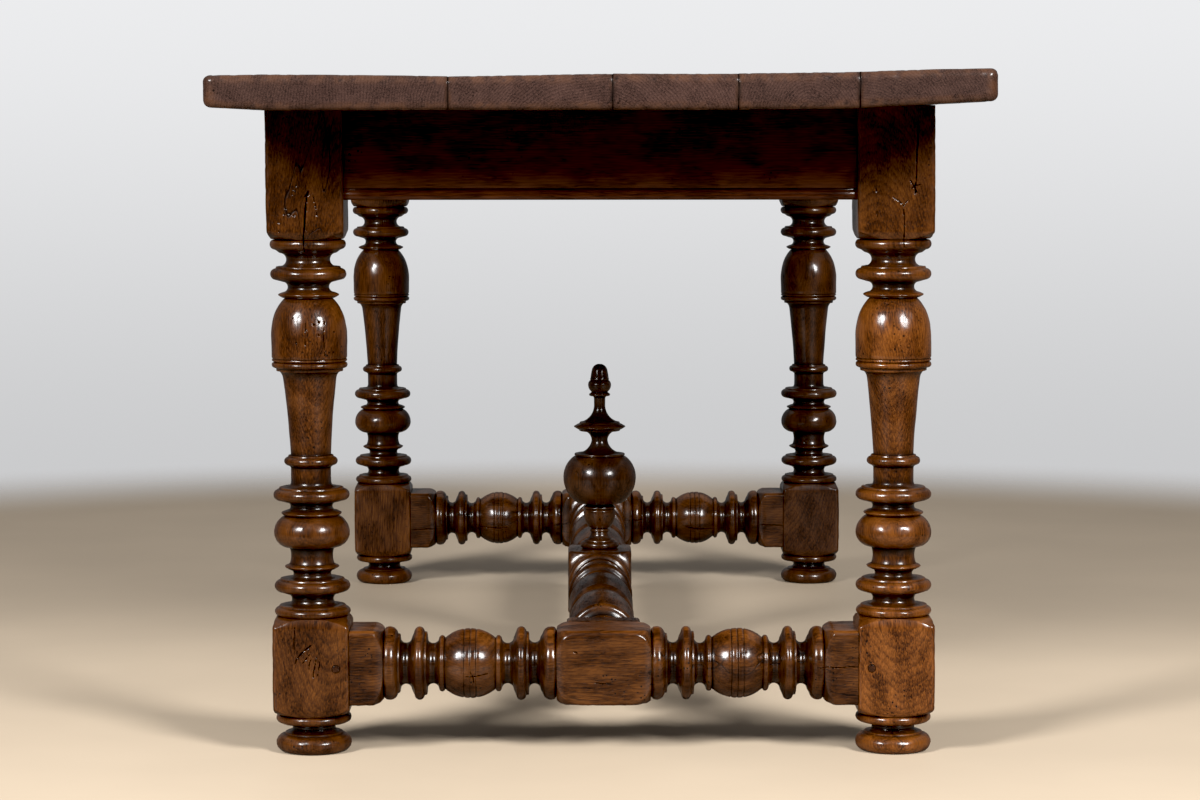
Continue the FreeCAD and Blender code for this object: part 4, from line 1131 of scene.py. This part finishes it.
# Painted light on the upward faces of the end stretchers
END_BAR_TOP_LIGHT = 1.3
CENTRE_END_BLOCK = 38
CENTRE_MIDDLE_BLOCK = 90
CENTRE_RING = (14, STRETCHER_RADIUS)
CENTRE_RING_FILLET = 5
CENTRE_MEMBERS = (
    (Outline.cove, 20, 24),
    (Outline.bead, 7, 31),
    (Outline.bow, 55, 29, -5),
    (Outline.bead, 14, STRETCHER_RADIUS, 2.5, 2.5),
    (Outline.cove, 14, 24),
    (Outline.bead, 8, 36),
)
CENTRE_MEMBERS_LENGTH = 142
CENTRE_BARREL = (33, 7.5)
CENTRE_WAIST = 23
CENTRE_SEED = 9


def end_run(run, length):
    """Turned stretch of an end stretcher, the same both ways about its ball."""
    ball = length - 2 * END_MEMBERS_LENGTH
    run.ring(*END_RING, block_below=True)
    add_members(run, END_MEMBERS)
    middle = run.level + ball / 2
    run.scribed += [middle - END_BALL_LINES, middle, middle + END_BALL_LINES]
    run.bow(ball, 28.8, 10.8)
    add_members(run, reversed(END_MEMBERS))
    run.ring(*END_RING, block_below=False)


def centre_run(run, length):
    """Turned stretch of the centre stretcher, the same both ways about its waist ring."""
    barrel = (length - CENTRE_WAIST) / 2 - CENTRE_MEMBERS_LENGTH
    run.bead(*CENTRE_RING, after=CENTRE_RING_FILLET)
    add_members(run, CENTRE_MEMBERS)
    run.bow(barrel, *CENTRE_BARREL)
    run.bead(CENTRE_WAIST, 40)
    run.bow(barrel, *CENTRE_BARREL)
    add_members(run, reversed(CENTRE_MEMBERS))
    run.bead(*CENTRE_RING, before=CENTRE_RING_FILLET)


def stretcher_outline(half_length, end_block, middle_block, middle_shoulder, draw_run):
    """Stretcher with a square block at its middle and at each end, and turned runs between them."""
    run_length = half_length - end_block - middle_block / 2
    bar = Outline(-half_length)
    bar.block(end_block, *END_SHOULDER, low_end=False)
    draw_run(bar, run_length)
    bar.block(middle_block, *middle_shoulder)
    draw_run(bar, run_length)
    bar.block(end_block, *END_SHOULDER, high_end=False)
    return bar


NEAR_BAR_CHECKS = (
    (((243, 0), (252, 1.5), (262, 0.5), (274, 1.5), (285, 1.5)), 1.3, 6),
    (((-155, -9), (-147, -10), (-138, -8), (-131, -7)), 1.6, 4),
    (((-150, -4), (-147, -9), (-146, -17)), 1.0, 3),
    (((-34, 19), (-29, 17)), 2.2, 2),
    (((24, 6), (31, 9)), 0.8, 1.5),
    (((-12, -16), (4, -17)), 0.8, 1.5),
)
FAR_BAR_CHECKS = (
    (((-285, -13), (-272, -13.5), (-258, -12.5), (-247, -13)), 1.3, 6),
    (((-186, -9), (-168, -11), (-150, -12), (-132, -11)), 1.3, 9),
    (((-73, -6), (-60, -5.5), (-46, -5)), 1.2, 6),
    (((73, 1), (60, 0.5), (48, 0)), 1.2, 6),
    (((132, -9), (150, -13), (168, -14), (186, -14)), 1.3, 9),
    (((247, -6), (262, -7), (285, -8)), 1.2, 6),
)
END_BAR_CHECKS = {"end_stretcher_near": NEAR_BAR_CHECKS, "end_stretcher_far": FAR_BAR_CHECKS}
END_BAR_TONES = {"end_stretcher_near": ((0, 0.98),), "end_stretcher_far": ((0, 0.85),)}


def wear_by_feet(bar):
    """Round the upper arrises of the square blocks of a stretcher that still lies about the X axis."""
    points = points_of(bar.data)
    inner = (STRETCHER_HALF - FOOT_WEAR) * MM
    side, rise = np.abs(points[:, 1]) - inner, points[:, 2] - inner
    worn = (side > 0) & (rise > 0)
    shrink = np.minimum(FOOT_WEAR * MM / np.maximum(np.hypot(side, rise), 1e-9), 1)[worn]
    points[worn, 1] = np.sign(points[worn, 1]) * (inner + side[worn] * shrink)
    points[worn, 2] = inner + rise[worn] * shrink
    set_points(bar.data, points)


def make_end_stretchers():
    """Near and far stretchers from one turning, worn round by feet on their upper arrises, with painted light
    on their upward faces.
    """
    half_gap = (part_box("leg_near_right")[0].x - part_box("leg_near_left")[1].x) / 2 / MM
    outline = stretcher_outline(half_gap, END_LEG_BLOCK, END_MIDDLE_BLOCK, MIDDLE_SHOULDER, end_run)
    blank = turn("end_stretcher_blank", outline, STRETCHER_SEGMENTS, STRETCHER_HALF)
    blank.data.transform(Matrix.Rotation(math.pi / 2, 4, "Y"))
    wear_by_feet(blank)
    for seed, name in enumerate(END_BAR_CHECKS, start=5):
        low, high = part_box(name)
        bar = copy_of(blank, name + "_worn")
        bar.data.transform(Matrix.Translation((0, (low.y + high.y) / 2, STRETCHER_LEVEL * MM)))
        weather(bar, seed)
        press_marks(bar, END_BAR_CHECKS[name], (0, STRETCHER_LEVEL * MM), -1)
        pith = (0.05, -0.04 * seed + 0.1)
        age(bar, 0, pith, seed, END_BAR_LEAN, END_BAR_TONES[name], END_BAR_TOP_LIGHT, STRETCHER_NECKS)
        settle(bar, "stretcher_wood", name)
    discard(blank)


def make_centre_stretcher():
    """Long stretcher between the middles of the end stretchers."""
    half_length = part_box("end_stretcher_far")[0].y / MM
    outline = stretcher_outline(half_length, CENTRE_END_BLOCK, CENTRE_MIDDLE_BLOCK, END_SHOULDER, centre_run)
    piece = turn("centre_stretcher_worn", outline, STRETCHER_SEGMENTS, STRETCHER_HALF)
    laid = Matrix.Rotation(-math.pi / 2, 4, "X")
    piece.data.transform(Matrix.Translation((0, 0, STRETCHER_LEVEL * MM)) @ laid)
    weather(piece, CENTRE_SEED)
    age(piece, 1, (0.06, -0.05), CENTRE_SEED, tone=((0, 0.88),), necks=STRETCHER_NECKS)
    settle(piece, "stretcher_wood", "centre_stretcher")


# Finial

FINIAL_SEGMENTS = 80
FINIAL_SEED = 12


def finial_outline(base):
    """Finial from its foot, through the cup, the ball and the disc, to the acorn."""
    finial = Outline(base)
    finial.bead(9.5, 25.9)
    finial.band(20.5, 2.2)
    finial.arc(11.6, 8.4, 9.5, -1)
    finial.to(11.6, 1.6)
    finial.bead(4.8, 13.2)
    finial.to(11.2, 1.3)
    finial.to(14.2)
    finial.sweep(21.2, 24, 2.6)
    finial.to(19.2, 1.1)
    finial.bead(3.8, 21.6)
    finial.to(15, 4.4)
    finial.to(30.6)
    finial.dome(48.4, 34.2)
    finial.dome(34, 28)
    finial.band(31.6, 1.2)
    finial.band(33.6, 2.7)
    finial.sweep(10.6, 17.4, -5.8)
    finial.sweep(26.6, 12.4, -4.8)
    finial.to(27.4, 0.6)
    finial.to(27.4, 1.8)
    finial.to(29)
    finial.to(34.8, 3.7)
    finial.to(29, 3.4)
    finial.to(27.2)
    finial.to(26.6, 2.8)
    finial.to(24)
    finial.sweep(7.5, 25, -5.4)
    finial.to(7.5, 7)
    finial.arc(10.4, 2.4, 3, -1)
    finial.bead(3.8, 14.2)
    finial.to(10.4, 1.6)
    finial.arc(15.4, 9.6, bow_curve(2 * 9.6, 4.6), 1)
    finial.dome(13.2, 5.6)
    finial.to(12, 0.8)
    finial.bead(2.6, 13)
    finial.to(12.2)
    finial.arc(10.6, 9.4, 60, 1)
    finial.arc(2.4, 9.3, 10.6, 1)
    return finial


def make_finial():
    """Finial on the middle block of the centre stretcher."""
    piece = turn("finial_worn", finial_outline(STRETCHER_LEVEL + STRETCHER_HALF), FINIAL_SEGMENTS)
    weather(piece, FINIAL_SEED, swell=0.2, chips=0.3)
    age(piece, 2, (0.04, -0.05), FINIAL_SEED, tone=((0, 1.25),), necks=0.12)
    settle(piece, "finial_wood", "finial")


# Top; lifts are places across the table in metres and heights in millimetres

BOARD_COUNT = 5
BOARD_SEED = 20
BOARD_TONES = (1.3, 1.4, 1.44, 1.34, 1.3)
BOARD_PITHS = ((0.25, -0.04), (0.09, -0.12), (-0.11, -0.10), (0.016, -0.025), (-0.075, -0.06))
EDGE_ROUND = 7.5 * MM
PLAN_ROUND = 11 * MM
SEAM_ROUND = 1.0 * MM
CUT_SPACING = 0.028
FINE_SPACING = 0.0035
TOP_SPREAD = 1.006
SEAM_GRIME = 0.9 * MM
TOP_THICKNESS = cad_high.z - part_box("top_board_1")[0].z
SEAM_GRIME_REACH = 1.6
ROUND_SEGMENTS = 5
SEAM_SEGMENTS = 2
LONG_WAVE = (6, 0.7)
SHORT_WAVE = (19, 0.3)
WAVE_HEIGHT = 0.7
END_WAVE = (13, 0.6)
SLACK = 1e-5
UPPER_LIFTS = (
    (-0.42, -1.1), (-0.36, 0.0), (-0.25, -0.6), (-0.162, -2.4), (-0.06, -0.8), (0.01, 0.4),
    (0.145, 0.6), (0.274, 2.4), (0.355, 5.0), (0.42, 6.2),
)
LOWER_LIFTS = ((-0.42, 1.2), (-0.36, -2.2), (0.145, -1.7), (0.27, -0.4), (0.36, 4.2), (0.42, 7.2))
FAR_EVENNESS = 0.5


def near(value, place):
    return abs(value - place) < SLACK


def warp_of_top(spot, middle_level):
    """How far the warped top lies above its true place; its upper and lower faces differ across it."""
    upper, lower = (np.interp(spot.x, *zip(*lifts)) for lifts in (UPPER_LIFTS, LOWER_LIFTS))
    share = min(max((spot.z - middle_level) / TOP_THICKNESS + 0.5, 0), 1)
    along = (spot.y - cad_low.y) / (cad_high.y - cad_low.y)
    return (lower + (upper - lower) * share) * (1 - FAR_EVENNESS * along) * MM


def make_board(number):
    """Board of the top: rounded where its edges are free, warped and worn, with grime along its seams."""
    name = "top_board_%d" % number
    low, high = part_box(name)
    size, middle = high - low, (low + high) / 2
    deselect()
    bpy.ops.mesh.primitive_cube_add(size=1, location=middle, scale=size)
    board = bpy.context.object
    board.name = name + "_worn"
    bpy.ops.object.transform_apply(location=True, rotation=True, scale=True)
    outer = {1: low.x, BOARD_COUNT: high.x}.get(number)
    seams = [x for x in (low.x, high.x) if x != outer]

    def at_corner(a, b):
        return near(a.x, outer) and near(b.x, outer) and near(a.y, b.y)

    def at_seam(a, b):
        return any(near(a.x, seam) and near(b.x, seam) for seam in seams)

    if outer is not None:
        round_edges(board, PLAN_ROUND, ROUND_SEGMENTS, at_corner)
    round_edges(board, EDGE_ROUND, ROUND_SEGMENTS, lambda a, b: near(a.z, b.z) and not at_seam(a, b))
    round_edges(board, SEAM_ROUND, SEAM_SEGMENTS, lambda a, b: at_seam(a, b) and a.y != b.y)
    for axis, spacing in ((1, CUT_SPACING), (0, FINE_SPACING), (2, FINE_SPACING)):
        cut_long_edges(board, axis, size[axis], spacing)
    points = points_of(board.data)
    seed = BOARD_SEED + number
    for point in points:
        spot = Vector(point)
        wave = noise.noise(spot * LONG_WAVE[0] + Vector((seed, 0, 0))) * LONG_WAVE[1]
        wave += noise.noise(spot * SHORT_WAVE[0]) * SHORT_WAVE[1]
        point[2] += warp_of_top(spot, middle.z) + wave * WAVE_HEIGHT * MM
        point[0] *= TOP_SPREAD
        point[1] += noise.noise(spot * END_WAVE[0] + Vector((0, seed, 0))) * END_WAVE[1] * MM
    set_points(board.data, points)
    weather(board, seed, swell=0.12, chips=0.9)
    tone = ((0, BOARD_TONES[number - 1]),)
    age(board, 1, BOARD_PITHS[number - 1], seed, tone=tone, crest_depth=0.8, rounds=6)
    crevices = np.empty(len(points))
    grime = board.data.attributes["crevice"].data
    grime.foreach_get("value", crevices)
    for seam in seams:
        off = np.abs(points[:, 0] - seam * TOP_SPREAD) / SEAM_GRIME
        crevices = np.maximum(crevices, np.clip(SEAM_GRIME_REACH - off, 0, 1))
    grime.foreach_set("value", crevices)
    rack(board)
    settle(board, "top_wood", name)


# Aprons

APRON_BEAD = 11
APRON_BEAD_RISE = 2.5
APRON_QUIRK = 2
APRON_BEAD_STEPS = 8
APRON_EASE = 0.5 * MM
APRON_PITH = (0.06, -0.2)


def apron_section(thickness, height):
    """Section as depth from the outer face and level: a plain board with a scratched bead along its foot."""
    section = [(thickness, 0.0), (thickness, height), (0.0, height), (0.0, APRON_BEAD + APRON_QUIRK)]
    section += [(APRON_BEAD_RISE, APRON_BEAD + APRON_QUIRK), (APRON_BEAD_RISE, APRON_BEAD)]
    curve = bow_curve(APRON_BEAD, APRON_BEAD_RISE)
    reach = math.asin(APRON_BEAD / 2 / curve)
    for step in range(1, APRON_BEAD_STEPS):
        angle = reach * (1 - 2 * step / APRON_BEAD_STEPS)
        depth = APRON_BEAD_RISE - curve * (math.cos(angle) - math.cos(reach))
        section.append((depth, APRON_BEAD / 2 + curve * math.sin(angle)))
    section.append((APRON_BEAD_RISE, 0.0))
    return section


def make_apron(name, seed, ends, along, outward):
    """Apron between two legs; along is the axis that it runs on, outward the way that its face looks."""
    low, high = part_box(name)
    thickness, height = (high - low)[1 - along] / MM, (high - low).z / MM
    face = (high if outward > 0 else low)[1 - along]
    corners = []
    for depth, level in apron_section(thickness, height):
        corner = Vector((0, 0, low.z + level * MM))
        corner[along] = ends[0]
        corner[1 - along] = face - outward * depth * MM
        corners.append(corner)
    mesh = bpy.data.meshes.new(name + "_worn")
    mesh.from_pydata(corners, [], [range(len(corners))])
    apron = bpy.data.objects.new(name + "_worn", mesh)
    bpy.context.scene.collection.objects.link(apron)
    travel = Vector((0, 0, 0))
    travel[along] = ends[1] - ends[0]
    edit(apron)
    bpy.ops.mesh.extrude_region_move(TRANSFORM_OT_translate={"value": travel})
    bpy.ops.mesh.select_all(action="SELECT")
    bpy.ops.mesh.normals_make_consistent(inside=False)
    leave()
    ease_edges(apron, APRON_EASE, 2)
    cut_long_edges(apron, along, abs(travel[along]), CUT_SPACING)
    age(apron, along, APRON_PITH, seed, rounds=6)
    rack(apron)
    settle(apron, "apron_wood", name)


def make_aprons():
    """Aprons between the legs, at the two ends and along the two sides."""
    leg_low, leg_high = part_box("leg_near_left")
    far_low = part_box("leg_far_right")[0]
    across, along = (leg_high.x, far_low.x), (leg_high.y, far_low.y)
    make_apron("end_apron_near", 31, across, 0, -1)
    make_apron("end_apron_far", 32, across, 0, 1)
    make_apron("side_apron_left", 33, along, 1, -1)
    make_apron("side_apron_right", 34, along, 1, 1)


# Pegs and hidden fixings

PEG_PROUD = -0.4 * MM
PEG_EASE = 0.5 * MM
PEG_LENGTH = 62 * MM
PEG_SIDES = 28
PEG_PITH = (0.3, 0.1)
DRY_WOOD_STOPS = [(0.3, (0.10, 0.055, 0.028)), (0.7, (0.24, 0.14, 0.07))]
DRY_WOOD_FIBRES = (300, 40)
STEEL_STOPS = [(0.35, (0.09, 0.06, 0.045)), (0.65, (0.32, 0.31, 0.30))]
STEEL_SCALE = 900.0
STEEL_ROUGHNESS = (0.3, 0.7, 0.65, 0.35)


def make_leg_pegs():
    """Round pegs, end grain outwards, in the legs' lower blocks."""
    low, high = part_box("leg_pegs")
    radius = (high.z - low.z) / 2
    depth = PEG_LENGTH + PEG_PROUD
    upright = (math.pi / 2, 0, 0)
    pegs = []
    for across in (low.x + radius, high.x - radius):
        for outer, way in ((low.y, -1), (high.y, 1)):
            deselect()
            place = (across, outer - way * (PEG_LENGTH / 2 - PEG_PROUD / 2), low.z + radius)
            bpy.ops.mesh.primitive_cylinder_add(
                vertices=PEG_SIDES, radius=radius, depth=depth, location=place, rotation=upright
            )
            bpy.ops.object.transform_apply(location=True, rotation=True, scale=True)
            pegs.append(bpy.context.object)
    finish_pegs(pegs, "leg_pegs", 1, 41)


def make_stretcher_pegs():
    """Square pegs in the tops of the end stretchers' middle blocks."""
    low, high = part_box("stretcher_pegs")
    side = high.x - low.x
    size = (side, side, high.z - low.z + PEG_PROUD)
    pegs = []
    for along in (low.y + side / 2, high.y - side / 2):
        deselect()
        place = (0, along, (low.z + high.z + PEG_PROUD) / 2)
        bpy.ops.mesh.primitive_cube_add(size=1, location=place, scale=size)
        bpy.ops.object.transform_apply(location=True, rotation=True, scale=True)
        pegs.append(bpy.context.object)
    finish_pegs(pegs, "stretcher_pegs", 2, 42)


def finish_pegs(pegs, name, grain_axis, seed):
    """Join pegs into one piece and ease their edges."""
    take(pegs[0])
    for peg in pegs:
        peg.select_set(True)
    bpy.ops.object.join()
    piece = bpy.context.object
    piece.name = name + "_worn"
    ease_edges(piece, PEG_EASE, 3)
    age(piece, grain_axis, PEG_PITH, seed, rounds=2)
    settle(piece, "peg_wood", name)


def finish_hidden():
    """Plain wood for tenons and buttons, dull steel for their screws; these stay as the frame has them."""
    wood, tree, shader = new_material("dry_wood")
    place = node(tree, "TexCoord").outputs["Object"]
    fibre = cloud_noise(tree, stretched(tree, place, *DRY_WOOD_FIBRES), 1.0, 4.0)
    plug(tree, shader, {"Base Color": ramp(tree, fibre, DRY_WOOD_STOPS), "Roughness": 0.7})
    steel, tree, shader = new_material("dull_steel")
    place = node(tree, "TexCoord").outputs["Object"]
    rust = cloud_noise(tree, place, STEEL_SCALE, 4.0)
    plug(tree, shader, {
        "Base Color": ramp(tree, rust, STEEL_STOPS),
        "Roughness": spread(tree, rust, *STEEL_ROUGHNESS),
        "Metallic": 1.0,
    })
    for name in ["seam_tenons_%d" % number for number in range(1, BOARD_COUNT)] + ["top_buttons"]:
        put_on(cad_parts[name], wood)
    put_on(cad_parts["button_screws"], steel)


# Build

set_camera()
set_light()
lay_floor()
make_legs()
make_end_stretchers()
make_centre_stretcher()
make_finial()
for board_number in range(1, BOARD_COUNT + 1):
    make_board(board_number)
make_aprons()
make_leg_pegs()
make_stretcher_pegs()
finish_hidden()
